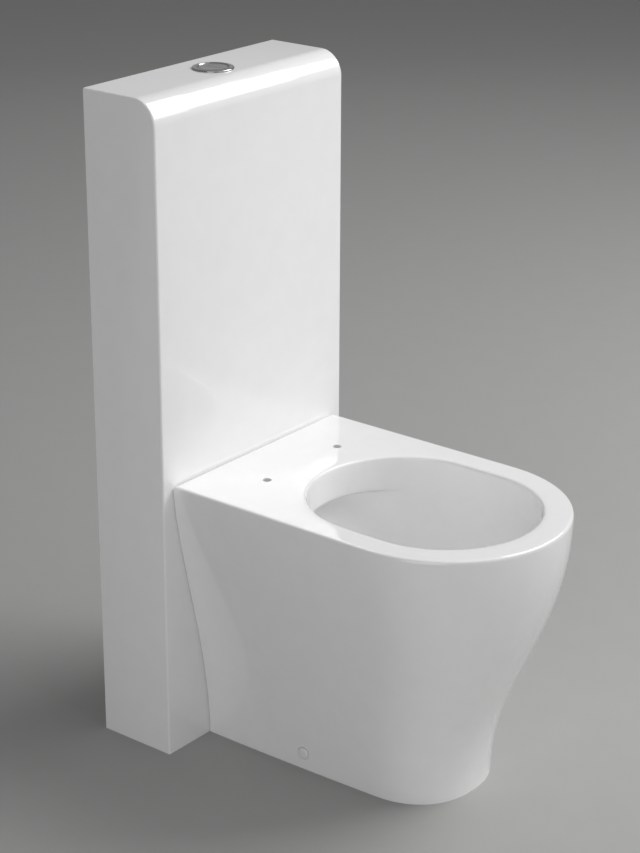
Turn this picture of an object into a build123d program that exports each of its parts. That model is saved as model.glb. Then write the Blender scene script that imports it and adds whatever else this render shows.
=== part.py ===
from build123d import *
import os
from math import cos, pi, sin

# Close coupled toilet: a back-to-wall pan and a full-height cistern casing, in glazed
# ceramic, with the tank, flush valve, fill valve and dual flush button inside.
# Millimetres. +Z is up, -Y is the front of the pan, +X is the right-hand side.
# The origin is on the floor, midway between the wall and the front of the pan.

# ---------------------------------------------------------------- driving dimensions
# cistern casing
CASING_WIDTH = 400
CASING_DEPTH = 127
CASING_HEIGHT = 970
CASING_WALL = 11
CASING_TOP = 14
TOP_ROUND = 36
EDGE_ROUND = 3
SERVICE_WIDTH = 156
SERVICE_LOW = 110
SERVICE_DROP = 32
SERVICE_ROUND = 30
LEDGE_THICKNESS = 12
TAB_HEIGHT = 40
TAB_THICKNESS = 12

# pan, outside
PAN_WIDTH = 360
PAN_HEIGHT = 420
PAN_LENGTH = 512
JOINT_GAP = 1.5
FOOT_WIDTH = 222
FOOT_SETBACK = 111
SIDE_PULL_LOW = 145
SIDE_PULL_HIGH = 90
NOSE_PULL_LOW = 163
NOSE_PULL_HIGH = 187
FOOT_TAPER = 0.945
FOOT_NOSE_POWER = 2.3
TOP_NOSE_POWER = 2.0
FOOT_NOSE_DEPTH = 107.5
RIM_ROUND = 4
PAN_LEVELS = 12
PAN_WALL = 11
DECK = 16
GASKET_WIDTH = 8
GASKET_INSET = 4

# bowl and apron
RIM_WIDTH = 42
OPENING_LENGTH = 338
SUMP_BASE = 58
BOWL_STRAIGHT = 52
SUMP_RADIUS = 40
SUMP_TO_NOSE = 255
SUMP_RISE = 37
BOWL_WALL = 10
BOWL_PULL_LOW = 70
BOWL_PULL_HIGH = 138
MOUTH_ROUND = 4
APRON_THICKNESS = 11
APRON_ANGLE = 84
CHAMBER_HEIGHT = 76
CHAMBER_DEPTH = 36

# waste and flush ways
TRAP_BORE = 27
TRAP_WALL = 9
TRAP_HEIGHT = 80
TRAP_BEND = 40
WEIR_HEIGHT = 190
WEIR_RUN = 50
WASTE_HEIGHT = 180
SPIGOT_RADIUS = 51
SPIGOT_LENGTH = 56
SEAL_THICKNESS = 7
SEAL_LENGTH = 24
WASTE_PIPE_RADIUS = 55
WASTE_PIPE_WALL = 3.2
SOCKET_LENGTH = 45
INLET_DROP = 54
INLET_WALL = 8
INLET_SEAL_THICKNESS = 5.5
INLET_SEAL_LENGTH = 22
INLET_SEAL_LIP = 6
FLUSH_PIPE_RADIUS = 22
FLUSH_PIPE_WALL = 2
FLUSH_PIPE_BEND = 45

# holes for the seat and for the floor fixings
SEAT_HOLE_SPACING = 160
SEAT_HOLE_RADIUS = 6.5
SEAT_HOLE_SETBACK = 87.3
SEAT_HOLE_MARGIN = 5
FIXING_SETBACK = 176.5
FIXING_HEIGHT = 26
CAP_RADIUS = 9.5
CAP_DOME = 3.5
CAP_SEAT = 0.8
SCREW_RADIUS = 3
SCREW_HEAD_RADIUS = 5
SCREW_HEAD_HEIGHT = 3.5
SCREW_HEAD_DEPTH = 7.3
SCREW_SOCKET_RADIUS = 1.8
BRACKET_WIDTH = 44
BRACKET_THICKNESS = 8
BRACKET_MARGIN = 21
BRACKET_HEIGHT = 46
FLOOR_HOLE_RADIUS = 4
FLOOR_HOLE_SPACING = 120

# inner tank
TANK_HEIGHT = 413
TANK_HEAD_ROOM = 52
TANK_SIDE_ROOM = 44
TANK_WALL = 4
TANK_BACK_GAP = 8
TANK_ROUND = 10
LID_THICKNESS = 4
LID_RIM_DEPTH = 6
LID_RIM_THICKNESS = 3
LID_HOLE_RADIUS = 34
JACKET_THICKNESS = 5
JACKET_GAP = 3
JACKET_HEIGHT = 380
PAD_THICKNESS = 4
PAD_WIDTH = 17
CLIP_THICKNESS = 2
CLIP_HEIGHT = 20
WALL_HOLE_INSET = 32
WALL_HOLE_RADIUS = 5
WALL_HOLE_DROP = 38
CLIP_SCREW_INSET = 17
CLIP_SCREW_RADIUS = 2
BOSS_RADIUS = 6
BOSS_LENGTH = 8

# flush button
BUTTON_SETBACK = 56
BEZEL_LAP = 5.3
BEZEL_THICKNESS = 2.4
BEZEL_ROUND = 1.6
BUTTON_RADIUS = 21
BUTTON_GAP = 0.5
BUTTON_THICKNESS = 6
BUTTON_RECESS = 1
BUTTON_HOLLOW = 0.6
BUTTON_HOLLOW_RADIUS = 45
SLEEVE_WALL = 3
SLEEVE_LENGTH = 32
GUIDE_THICKNESS = 4
SLEEVE_NUT_LAP = 7
SLEEVE_NUT_HEIGHT = 8
STEM_RADIUS = 2.5
STEM_OFFSET = 13
STEM_SOCKET = 4
GASKET_THICKNESS = 0.6
SPLIT_OFFSET = 3
SPRING_RADIUS = 6
SPRING_WIRE = 0.6
SPRING_TURNS = 5

# flush valve
SHANK_WALL = 5
SHANK_DROP = 35
FLANGE_RADIUS = 42
WASHER_THICKNESS = 3
FLANGE_THICKNESS = 4
NUT_LAP = 9
NUT_HEIGHT = 12
COUPLING_HEIGHT = 26
SEAT_HEIGHT = 8
TOWER_ROOM = 5
TOWER_WALL = 2.5
TOWER_DROP = 74
RISER_RADIUS = 13
RISER_WALL = 1.5
RISER_LIFT = 12
SEAT_LAP = 5
ROCKER_INNER = 11
ROCKER_OUTER = 22
ROCKER_DROP = 34
ROCKER_WIDTH = 6
KNUCKLE_RADIUS = 2.5
PIN_RADIUS = 1.2
CHEEK = 3
LIFT_GAP = 0.5
PART_FLOAT_HEIGHT = 60
PART_FLOAT_DROP = 105

# fill valve
FILL_INSET = 41
THREAD_RADIUS = 8.33
THREAD_LENGTH = 20
STUD_RADIUS = 10.5
COLUMN_RADIUS = 10
COLUMN_HEIGHT = 300
HEAD_RADIUS = 15
HEAD_HEIGHT = 13
FLOAT_WIDTH = 54
FLOAT_DEPTH = 60
FLOAT_HEIGHT = 52
FLOAT_LEVEL = 215
FLOAT_ROD_RADIUS = 2
LEVER_OFFSET = 7
LEVER_HEIGHT = 327
LEVER_LENGTH = 32
LEVER_WIDTH = 11

# clearances
RUN = 0.05
FREE = 0.5
ROOM = 1.5

# ---------------------------------------------------------------- places worked out
TOTAL_DEPTH = CASING_DEPTH + JOINT_GAP + PAN_LENGTH
BACK_Y = TOTAL_DEPTH / 2
FACE_Y = BACK_Y - CASING_DEPTH
PAN_Y = FACE_Y - JOINT_GAP
NOSE_Y = PAN_Y - PAN_LENGTH
PAN_HALF = PAN_WIDTH / 2
OPENING_RADIUS = PAN_HALF - RIM_WIDTH
FRONT_ARC_Y = NOSE_Y + PAN_HALF
REAR_ARC_Y = NOSE_Y + RIM_WIDTH + OPENING_LENGTH - OPENING_RADIUS
SUMP_Y = NOSE_Y + SUMP_TO_NOSE
SUMP_Z = SUMP_BASE + SUMP_RISE
WALL_Z = PAN_HEIGHT - BOWL_STRAIGHT
DECK_Z = PAN_HEIGHT - DECK
INLET_Z = DECK_Z - INLET_DROP
SPIGOT_Y = PAN_Y - SPIGOT_LENGTH
SEAT_Y = PAN_Y - SEAT_HOLE_SETBACK
FIXING_Y = PAN_Y - FIXING_SETBACK
INLET_RADIUS = FLUSH_PIPE_RADIUS + INLET_SEAL_THICKNESS
INNER_X = CASING_WIDTH / 2 - CASING_WALL
INNER_Y = FACE_Y + CASING_WALL
TANK_BACK_Y = BACK_Y - TANK_BACK_GAP
TANK_FRONT_Y = INNER_Y + JACKET_GAP + JACKET_THICKNESS
TANK_HALF = INNER_X - TANK_SIDE_ROOM
TANK_TOP = CASING_HEIGHT - TANK_HEAD_ROOM
TANK_BASE = TANK_TOP - TANK_HEIGHT
FLOOR_Z = TANK_BASE + TANK_WALL
LEDGE_Z = TANK_BASE - PAD_THICKNESS
WALL_HOLE_X = CASING_WIDTH / 2 - WALL_HOLE_INSET
WALL_HOLE_Z = TANK_TOP - WALL_HOLE_DROP
CLIP_SCREW_X = TANK_HALF - CLIP_SCREW_INSET
BUTTON_Y = BACK_Y - BUTTON_SETBACK
SLEEVE_RADIUS = BUTTON_RADIUS + BUTTON_GAP + SLEEVE_WALL
SLEEVE_TOP = CASING_HEIGHT + GASKET_THICKNESS
BEZEL_RADIUS = SLEEVE_RADIUS + BEZEL_LAP
BUTTON_TOP = SLEEVE_TOP + BEZEL_THICKNESS - BUTTON_RECESS
BUTTON_BASE = BUTTON_TOP - BUTTON_THICKNESS
GUIDE_Z = SLEEVE_TOP - SLEEVE_LENGTH
SHANK_RADIUS = FLUSH_PIPE_RADIUS + SHANK_WALL
DISC_RADIUS = FLUSH_PIPE_RADIUS + SEAT_LAP
TOWER_RADIUS = DISC_RADIUS + TOWER_ROOM
SEAT_Z = FLOOR_Z + WASHER_THICKNESS + FLANGE_THICKNESS + SEAT_HEIGHT
DISC_Z = SEAT_Z + WASHER_THICKNESS
TOWER_Z = TANK_TOP - TOWER_DROP
YOKE_Z = TOWER_Z + 2
RISER_TOP = YOKE_Z + 6
ROCKER_Z = TANK_TOP - ROCKER_DROP
PIVOT_X = STEM_OFFSET + ROCKER_INNER
LIFT_X = PIVOT_X + ROCKER_OUTER
CROSS_Z = ROCKER_Z + 2 * KNUCKLE_RADIUS + LIFT_GAP
ROD_END_Z = ROCKER_Z + KNUCKLE_RADIUS + LIFT_GAP
LUG_Y = ROCKER_WIDTH / 2 + FREE
YOKE_Y = LUG_Y + CHEEK + ROOM
FILL_OFFSET = TANK_HALF - FILL_INSET
LEVER_X = LEVER_OFFSET - FILL_OFFSET
LEVER_Z = FLOOR_Z + LEVER_HEIGHT
HEAD_Z = FLOOR_Z + COLUMN_HEIGHT
FLOAT_X = LEVER_X - LEVER_LENGTH


# ---------------------------------------------------------------- shapes used again
def bar(x, y, z):
    """A block from three (low, high) pairs."""
    size = Box(x[1] - x[0], y[1] - y[0], z[1] - z[0])
    return Pos((x[0] + x[1]) / 2, (y[0] + y[1]) / 2, (z[0] + z[1]) / 2) * size


def rod(radius, x, y, z):
    """An upright cylinder at x, y between two heights."""
    return Pos(x, y, (z[0] + z[1]) / 2) * Cylinder(radius, z[1] - z[0])


def tube(outer, inner, x, y, z):
    """An upright tube at x, y between two heights."""
    return rod(outer, x, y, z) - rod(inner, x, y, z)


def along_x(radius, x, y, z):
    """A cylinder along X between two x values."""
    return Pos((x[0] + x[1]) / 2, y, z) * Rot(0, 90, 0) * Cylinder(radius, x[1] - x[0])


def along_y(radius, x, y, z):
    """A cylinder along Y between two y values."""
    return Pos(x, (y[0] + y[1]) / 2, z) * Rot(90, 0, 0) * Cylinder(radius, y[1] - y[0])


def hex_nut(radius, bore, x, y, z):
    """A hexagonal nut, radius across its corners, between two heights."""
    body = extrude(Pos(x, y, z[0]) * RegularPolygon(radius, 6), z[1] - z[0])
    return body - rod(bore, x, y, z)


def mirrored(shape):
    """The shape's twin across the middle plane."""
    return mirror(shape, about=Plane.YZ)


def s_curve(z, height, pull_low, pull_high):
    """Share of the way across, at height z, of a cubic curve with upright ends."""
    low, high = 0.0, 1.0
    for _ in range(50):
        t = (low + high) / 2
        rise = 3 * t * (1 - t) ** 2 * pull_low + 3 * t * t * (1 - t) * (height - pull_high)
        if rise + t**3 * height < z:
            low = t
        else:
            high = t
    return 3 * t * t * (1 - t) + t**3


# ---------------------------------------------------------------- pan
def nose_reach(z):
    """The front of the pan at height z."""
    return NOSE_Y + FOOT_SETBACK * (1 - s_curve(z, PAN_HEIGHT, NOSE_PULL_LOW, NOSE_PULL_HIGH))


def nose_start(z):
    """Where the flank ends at height z and the rounded nose begins."""
    return nose_reach(z) + FOOT_NOSE_DEPTH + (PAN_HALF - FOOT_NOSE_DEPTH) * z / PAN_HEIGHT


def flank_half(z, y):
    """Half the pan's width on the flank, at height z and place y."""
    swell = s_curve(z, PAN_HEIGHT, SIDE_PULL_LOW, SIDE_PULL_HIGH)
    taper = FOOT_TAPER + (1 - FOOT_TAPER) * z / PAN_HEIGHT
    share = (PAN_Y - y) / (PAN_Y - nose_start(z))
    return (FOOT_WIDTH + (PAN_WIDTH - FOOT_WIDTH) * swell) / 2 * (1 - (1 - taper) * share**2)


def pan_outline(z, inset=0, back=0):
    """The pan's plan at height z: flanks that run into a rounded nose."""
    power = FOOT_NOSE_POWER + (TOP_NOSE_POWER - FOOT_NOSE_POWER) * z / PAN_HEIGHT
    start = nose_start(z)
    depth = start - nose_reach(z) - inset
    half = []
    for share in (0, 0.3, 0.6, 0.85):
        y = PAN_Y + (start - PAN_Y) * share
        half.append((flank_half(z, y) - inset, y + back * (1 - share)))
    for step in range(1, 9):
        turn = pi / 2 * step / 9
        x = (flank_half(z, start) - inset) * cos(turn) ** (2 / power)
        half.append((x, start - depth * sin(turn) ** (2 / power)))
    points = half + [(0, start - depth)] + [(-x, y) for x, y in reversed(half)]
    nose_line = Spline(*points, tangents=[(0, -1), (0, 1)])
    back_line = Line(nose_line @ 1, nose_line @ 0)
    return Pos(0, 0, z) * make_face(nose_line + back_line)


def pan_body(inset=0, back=0, high=PAN_HEIGHT):
    """The pan's outer form, or a smaller one inside it."""
    levels = [high * step / PAN_LEVELS for step in range(PAN_LEVELS + 1)]
    return loft([pan_outline(z, inset, back) for z in levels])


def bowl_outline(z, grow=0):
    """The bowl's plan at height z: two half circles and the straights between them."""
    rise = min(max(z - SUMP_Z, 0), WALL_Z - SUMP_Z)
    share = s_curve(rise, WALL_Z - SUMP_Z, BOWL_PULL_LOW, BOWL_PULL_HIGH)
    radius = SUMP_RADIUS + (OPENING_RADIUS - SUMP_RADIUS) * share + grow
    front = SUMP_Y - 3 + (FRONT_ARC_Y - SUMP_Y + 3) * share
    rear = SUMP_Y + 3 + (REAR_ARC_Y - SUMP_Y - 3) * share
    length = rear - front + 2 * radius
    return Pos(0, (front + rear) / 2, z) * Rot(0, 0, 90) * SlotOverall(length, 2 * radius)


def bowl_body(grow=0, high=PAN_HEIGHT + 1):
    """The bowl's hollow, or its outer form when grown by the wall."""
    step = (WALL_Z - SUMP_Z) / 6
    body = loft([bowl_outline(SUMP_Z + step * k, grow) for k in range(7)])
    mouth = extrude(bowl_outline(WALL_Z, grow), high - WALL_Z)
    foot = extrude(bowl_outline(SUMP_Z, grow), -(SUMP_RISE + grow))
    return body + mouth + foot


def sector(inner, outer, low, high, angle):
    """Part of a ring round the bowl's rear arc, centred on the middle plane."""
    size = Rectangle(outer - inner, high - low, align=(Align.MIN, Align.MIN))
    ring = revolve(Plane.XZ * Pos(inner, low) * size, Axis.Z, angle)
    return Pos(0, REAR_ARC_Y, 0) * Rot(0, 0, 90 - angle / 2) * ring


def trap_way(radius, low_y, high_y):
    """A round passage from the sump, over the weir, to the waste spigot."""
    rise_y = SUMP_Y + SUMP_RADIUS + TRAP_BORE
    corners = [
        (0, low_y, TRAP_HEIGHT + 2),
        (0, rise_y, TRAP_HEIGHT),
        (0, rise_y + WEIR_RUN, WEIR_HEIGHT),
        (0, high_y, WASTE_HEIGHT),
    ]
    path = FilletPolyline(*corners, radius=TRAP_BEND)
    return sweep(Plane(origin=path @ 0, z_dir=path % 0) * Circle(radius), path=path)


def make_pan():
    """The pan in one ceramic piece: shell, bowl, apron, flush chamber, trap and spigot."""
    outer = pan_body()
    rim = outer.faces().sort_by(Axis.Z)[-1].edges().sort_by(SortBy.LENGTH)[-1]
    outer = fillet(rim, RIM_ROUND)
    shell = outer - pan_body(PAN_WALL, 20, DECK_Z)

    chamber_low = DECK_Z - CHAMBER_HEIGHT
    apron_back = OPENING_RADIUS + APRON_THICKNESS
    chamber_back = apron_back + CHAMBER_DEPTH
    inlet_y = REAR_ARC_Y + apron_back
    walls = bowl_body(BOWL_WALL, DECK_Z + 4)
    walls += sector(OPENING_RADIUS - 40, chamber_back + BOWL_WALL,
                    chamber_low - BOWL_WALL, DECK_Z + 4, APRON_ANGLE + 8)
    walls += along_y(INLET_RADIUS + INLET_WALL, 0, (inlet_y, PAN_Y), INLET_Z)
    walls += trap_way(TRAP_BORE + TRAP_WALL, SUMP_Y, SPIGOT_Y + TRAP_WALL)
    walls += along_y(SPIGOT_RADIUS, 0, (SPIGOT_Y, PAN_Y), WASTE_HEIGHT)
    pan = shell + walls

    pan -= bowl_body()
    pan -= sector(apron_back, chamber_back, chamber_low, DECK_Z, APRON_ANGLE)
    pan -= sector(OPENING_RADIUS - 30, chamber_back, chamber_low, WALL_Z, APRON_ANGLE)
    pan -= along_y(INLET_RADIUS, 0, (inlet_y + CHAMBER_DEPTH / 2, PAN_Y + 1), INLET_Z)
    pan -= trap_way(TRAP_BORE, SUMP_Y + SUMP_RADIUS / 2, SPIGOT_Y + 2 * TRAP_WALL)
    bore = SPIGOT_RADIUS - TRAP_WALL
    pan -= along_y(bore, 0, (SPIGOT_Y + TRAP_WALL, PAN_Y + 1), WASTE_HEIGHT)

    for side in (-1, 1):
        x = side * SEAT_HOLE_SPACING / 2
        pan -= rod(SEAT_HOLE_RADIUS, x, SEAT_Y, (DECK_Z - SEAT_HOLE_MARGIN, PAN_HEIGHT + 1))
    for cut in (skirt_hole(), mirrored(skirt_hole())):
        pan -= cut
    mouth = [e for e in pan.edges() if on_mouth(e.bounding_box())]
    return fillet(mouth, MOUTH_ROUND)


def split_pan():
    """The casting as three sub-parts: rim with skirt, the bowl under the deck, and the trap."""
    whole = make_pan()
    reach = (-2 * PAN_LENGTH, 2 * PAN_LENGTH)
    below = whole & bar(reach, reach, (-1, DECK_Z))
    inside = below.solids().sort_by(lambda solid: solid.bounding_box().min.Z)[-1]
    behind = bar(reach, (SUMP_Y, PAN_Y + 1), (0, DECK_Z - CHAMBER_HEIGHT - BOWL_WALL))
    outside = (inside & behind) - bowl_body(BOWL_WALL)
    trap = outside.solids().sort_by(lambda solid: solid.volume)[-1]
    return whole - inside, inside - trap, trap


def on_mouth(box):
    """True for the box of an edge that runs round the bowl's opening."""
    level = box.min.Z > PAN_HEIGHT - 0.1
    inside = box.max.X < OPENING_RADIUS + 1 and box.min.Y > NOSE_Y + RIM_WIDTH - 1
    return level and inside and box.max.Y < SEAT_Y - SEAT_HOLE_RADIUS - 1


def skirt_face():
    """Where the caps sit on the skirt."""
    return flank_half(FIXING_HEIGHT, FIXING_Y) - CAP_SEAT


def skirt_hole():
    """The right-hand fixing hole: a flat seat for the cap, a head recess and a screw hole."""
    face = skirt_face()
    hole = along_x(CAP_RADIUS + FREE, (face, face + PAN_WALL), FIXING_Y, FIXING_HEIGHT)
    hole += along_x(SCREW_HEAD_RADIUS + FREE, (face - SCREW_HEAD_DEPTH, face + 1), FIXING_Y,
                    FIXING_HEIGHT)
    hole += along_x(SCREW_RADIUS + FREE, (face - 2 * PAN_WALL, face), FIXING_Y, FIXING_HEIGHT)
    return hole


# ---------------------------------------------------------------- pan fittings
def rear_profile(inset):
    """The pan's rear edge seen from behind."""
    levels = [PAN_HEIGHT * step / 6 for step in range(7)]
    right = Spline(*[(flank_half(z, PAN_Y) - inset, z) for z in levels])
    left = mirror(right, about=Plane.YZ)
    return make_face(right + left + Line(right @ 0, left @ 0) + Line(right @ 1, left @ 1))


def make_back_gasket():
    """The soft strip between the pan's rear edge and the casing, open at the floor."""
    top = PAN_HEIGHT - GASKET_INSET
    size = (PAN_WIDTH, top - GASKET_WIDTH)
    outer = rear_profile(GASKET_INSET) & Pos(0, (top + GASKET_WIDTH) / 2) * Rectangle(*size)
    inner = rear_profile(GASKET_INSET + GASKET_WIDTH) & Pos(0, size[1] / 2) * Rectangle(*size)
    return extrude(Plane.XZ.offset(-FACE_Y) * (outer - inner), JOINT_GAP)


def make_cap():
    """The right-hand domed cap, snapped into the skirt's fixing hole."""
    high = CAP_SEAT + CAP_DOME
    dome_radius = (CAP_RADIUS**2 + CAP_DOME**2) / (2 * CAP_DOME)
    side = Polyline((CAP_SEAT, CAP_RADIUS), (0, CAP_RADIUS), (0, SCREW_HEAD_RADIUS),
                    (-2, SCREW_HEAD_RADIUS), (-2, 0), (high, 0))
    dome = RadiusArc((high, 0), (CAP_SEAT, CAP_RADIUS), -dome_radius)
    cap = revolve(make_face(side + dome), Axis.X)
    return Pos(skirt_face(), FIXING_Y, FIXING_HEIGHT) * cap


def bracket_face():
    """The side of the floor bracket that backs the skirt."""
    return flank_half(0, FIXING_Y - BRACKET_WIDTH / 2) - PAN_WALL - FREE


def make_floor_bracket():
    """The right-hand floor bracket: a foot with a floor hole and an upright for the screw."""
    face = bracket_face()
    width = (FIXING_Y - BRACKET_WIDTH / 2, FIXING_Y + BRACKET_WIDTH / 2)
    inner = FLOOR_HOLE_SPACING / 2 - BRACKET_MARGIN
    bracket = bar((inner, face), width, (0, BRACKET_THICKNESS / 2))
    upright = bar((face - BRACKET_THICKNESS, face), width, (0, BRACKET_HEIGHT))
    top = upright.edges().filter_by(Axis.X).group_by(Axis.Z)[-1]
    bracket += fillet(top, BRACKET_WIDTH / 4)
    rib_x = (FLOOR_HOLE_SPACING / 2 + 3 * FLOOR_HOLE_RADIUS, face)
    bracket += bar(rib_x, (FIXING_Y - 2, FIXING_Y + 2), (0, BRACKET_HEIGHT / 3))
    bracket -= along_x(SCREW_RADIUS, (face - BRACKET_THICKNESS, face), FIXING_Y, FIXING_HEIGHT)
    return bracket - rod(FLOOR_HOLE_RADIUS, FLOOR_HOLE_SPACING / 2, FIXING_Y, (-1, BRACKET_THICKNESS))


def make_skirt_screws():
    """The two screws that hold the skirt to its floor brackets."""
    seat = skirt_face() - SCREW_HEAD_DEPTH
    top = seat + SCREW_HEAD_HEIGHT
    head = along_x(SCREW_HEAD_RADIUS, (seat, top), FIXING_Y, FIXING_HEIGHT)
    head -= along_x(SCREW_SOCKET_RADIUS, (top - SCREW_SOCKET_RADIUS, top), FIXING_Y, FIXING_HEIGHT)
    shank = along_x(SCREW_RADIUS, (bracket_face() - BRACKET_THICKNESS, seat), FIXING_Y, FIXING_HEIGHT)
    screw = head + shank
    return Compound([screw.solid(), mirrored(screw).solid()])


def make_waste_seal():
    """The rubber ring between the spigot and the waste connector's socket."""
    y = (PAN_Y - SOCKET_LENGTH + 5, PAN_Y - SOCKET_LENGTH + 5 + SEAL_LENGTH)
    ring = along_y(SPIGOT_RADIUS + SEAL_THICKNESS, 0, y, WASTE_HEIGHT)
    ring -= along_y(SPIGOT_RADIUS, 0, y, WASTE_HEIGHT)
    groove = (y[0] + SEAL_LENGTH / 3, y[0] + 2 * SEAL_LENGTH / 3)
    cut = along_y(SPIGOT_RADIUS + SEAL_THICKNESS, 0, groove, WASTE_HEIGHT)
    return ring - (cut - along_y(SPIGOT_RADIUS + SEAL_THICKNESS / 2, 0, groove, WASTE_HEIGHT))


def make_waste_connector():
    """The plastic connector from the spigot, through the casing, to the wall."""
    socket = SPIGOT_RADIUS + SEAL_THICKNESS
    shell = socket + WASTE_PIPE_WALL
    bore = WASTE_PIPE_RADIUS - WASTE_PIPE_WALL
    shoulder = PAN_Y + ROOM
    low = PAN_Y - SOCKET_LENGTH
    end = BACK_Y - ROOM
    body = along_y(shell, 0, (low, shoulder + WASTE_PIPE_WALL), WASTE_HEIGHT)
    body += along_y(WASTE_PIPE_RADIUS, 0, (shoulder, end), WASTE_HEIGHT)
    body -= along_y(socket, 0, (low, shoulder), WASTE_HEIGHT)
    return body - along_y(bore, 0, (low, end), WASTE_HEIGHT)


def make_flush_pipe():
    """The bend that carries the flush from the tank down to the pan."""
    corners = [
        (0, BUTTON_Y, TANK_BASE - SHANK_DROP + 15),
        (0, BUTTON_Y, INLET_Z),
        (0, PAN_Y - INLET_SEAL_LENGTH, INLET_Z),
    ]
    path = FilletPolyline(*corners, radius=FLUSH_PIPE_BEND)
    start = Plane(origin=path @ 0, z_dir=path % 0)
    outer = sweep(start * Circle(FLUSH_PIPE_RADIUS), path=path)
    return outer - sweep(start * Circle(FLUSH_PIPE_RADIUS - FLUSH_PIPE_WALL), path=path)


def make_inlet_seal():
    """The rubber collar between the flush pipe and the pan's inlet."""
    seal = along_y(INLET_RADIUS, 0, (PAN_Y - INLET_SEAL_LENGTH, PAN_Y), INLET_Z)
    seal += along_y(INLET_RADIUS + INLET_SEAL_LIP, 0, (PAN_Y, PAN_Y + JOINT_GAP - 0.3), INLET_Z)
    return seal - along_y(FLUSH_PIPE_RADIUS, 0, (PAN_Y - 50, PAN_Y + 50), INLET_Z)


# ---------------------------------------------------------------- cistern casing
def make_casing():
    """The full-height ceramic casing: open behind and below, with ledges and wall tabs."""
    size = Rectangle(CASING_DEPTH, CASING_HEIGHT, align=(Align.MIN, Align.MIN))
    side = Plane.YZ * Pos(FACE_Y, 0) * size
    body = extrude(side, CASING_WIDTH / 2, both=True)
    front_top = body.edges().filter_by(Axis.X).sort_by(lambda e: e.center().Z - e.center().Y)[-1]
    body = fillet(front_top, TOP_ROUND)
    flanks = body.edges().filter_by(lambda e: abs(abs(e.center().X) - CASING_WIDTH / 2) < 0.1)
    outline = flanks.filter_by(lambda e: e.center().Z > 1 and e.center().Y < BACK_Y - 1)
    body = fillet(outline, EDGE_ROUND)

    high = CASING_HEIGHT - CASING_TOP
    hollow = bar((-INNER_X, INNER_X), (INNER_Y, BACK_Y + 10), (-10, high))
    inner_top = hollow.edges().filter_by(Axis.X).sort_by(lambda e: e.center().Z - e.center().Y)[-1]
    body -= fillet(inner_top, TOP_ROUND - CASING_WALL)

    service_high = PAN_HEIGHT - SERVICE_DROP
    opening = Rectangle(SERVICE_WIDTH, service_high - SERVICE_LOW)
    opening = fillet(opening.vertices(), SERVICE_ROUND)
    middle = (service_high + SERVICE_LOW) / 2
    body -= extrude(Plane.XZ.offset(-FACE_Y + 1) * Pos(0, middle) * opening, -3 * CASING_WALL)
    body -= rod(SLEEVE_RADIUS + FREE, 0, BUTTON_Y, (high - 1, CASING_HEIGHT + 1))

    ledge_x = TANK_HALF - PAD_WIDTH - 6
    half_tab = TAB_HEIGHT / 2
    for side in (-1, 1):
        x = sorted((side * ledge_x, side * (INNER_X + 1)))
        body += bar(x, (INNER_Y - 1, TANK_BACK_Y - 10), (LEDGE_Z - LEDGE_THICKNESS, LEDGE_Z))
        x = sorted((side * (TANK_HALF + JACKET_THICKNESS + ROOM), side * (INNER_X + 1)))
        tab = bar(x, (TANK_BACK_Y - TAB_THICKNESS, TANK_BACK_Y),
                  (WALL_HOLE_Z - half_tab, WALL_HOLE_Z + half_tab))
        body += tab - along_y(WALL_HOLE_RADIUS, side * WALL_HOLE_X, (INNER_Y, BACK_Y), WALL_HOLE_Z)
    return body


# ---------------------------------------------------------------- inner tank
def make_tank():
    """The plastic tank, with valve holes in its floor and bosses on its back."""
    x = (-TANK_HALF, TANK_HALF)
    y = (TANK_FRONT_Y, TANK_BACK_Y)
    tank = bar(x, y, (TANK_BASE, TANK_TOP))
    tank = fillet(tank.edges().filter_by(Axis.Z), TANK_ROUND)
    inside = bar((x[0] + TANK_WALL, x[1] - TANK_WALL), (y[0] + TANK_WALL, y[1] - TANK_WALL),
                 (FLOOR_Z, TANK_TOP + 1))
    tank -= fillet(inside.edges().filter_by(Axis.Z), TANK_ROUND - TANK_WALL)
    for side in (-1, 1):
        place = side * CLIP_SCREW_X
        low = TANK_BACK_Y - TANK_WALL - BOSS_LENGTH
        tank += along_y(BOSS_RADIUS, place, (low, TANK_BACK_Y - 1), WALL_HOLE_Z)
        tank -= along_y(CLIP_SCREW_RADIUS, place, (low + 2, TANK_BACK_Y + 1), WALL_HOLE_Z)
    tank -= rod(SHANK_RADIUS + FREE, 0, BUTTON_Y, (TANK_BASE - 1, FLOOR_Z + 1))
    return tank - rod(STUD_RADIUS + FREE, -FILL_OFFSET, BUTTON_Y, (TANK_BASE - 1, FLOOR_Z + 1))


def make_lid():
    """The tank's lid, with a hole for the push rods and a rim that locates it."""
    y = (TANK_FRONT_Y, TANK_BACK_Y)
    lid = bar((-TANK_HALF, TANK_HALF), y, (TANK_TOP, TANK_TOP + LID_THICKNESS))
    lid = fillet(lid.edges().filter_by(Axis.Z), TANK_ROUND)
    gap = TANK_WALL + FREE
    z = (TANK_TOP - LID_RIM_DEPTH, TANK_TOP)
    inside = bar((-TANK_HALF + gap, TANK_HALF - gap), (y[0] + gap, y[1] - gap), z)
    rim = fillet(inside.edges().filter_by(Axis.Z), TANK_ROUND - TANK_WALL)
    gap += LID_RIM_THICKNESS
    rim -= bar((-TANK_HALF + gap, TANK_HALF - gap), (y[0] + gap, y[1] - gap), z)
    return lid + rim - rod(LID_HOLE_RADIUS, 0, BUTTON_Y, (TANK_TOP, TANK_TOP + 2 * LID_THICKNESS))


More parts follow.
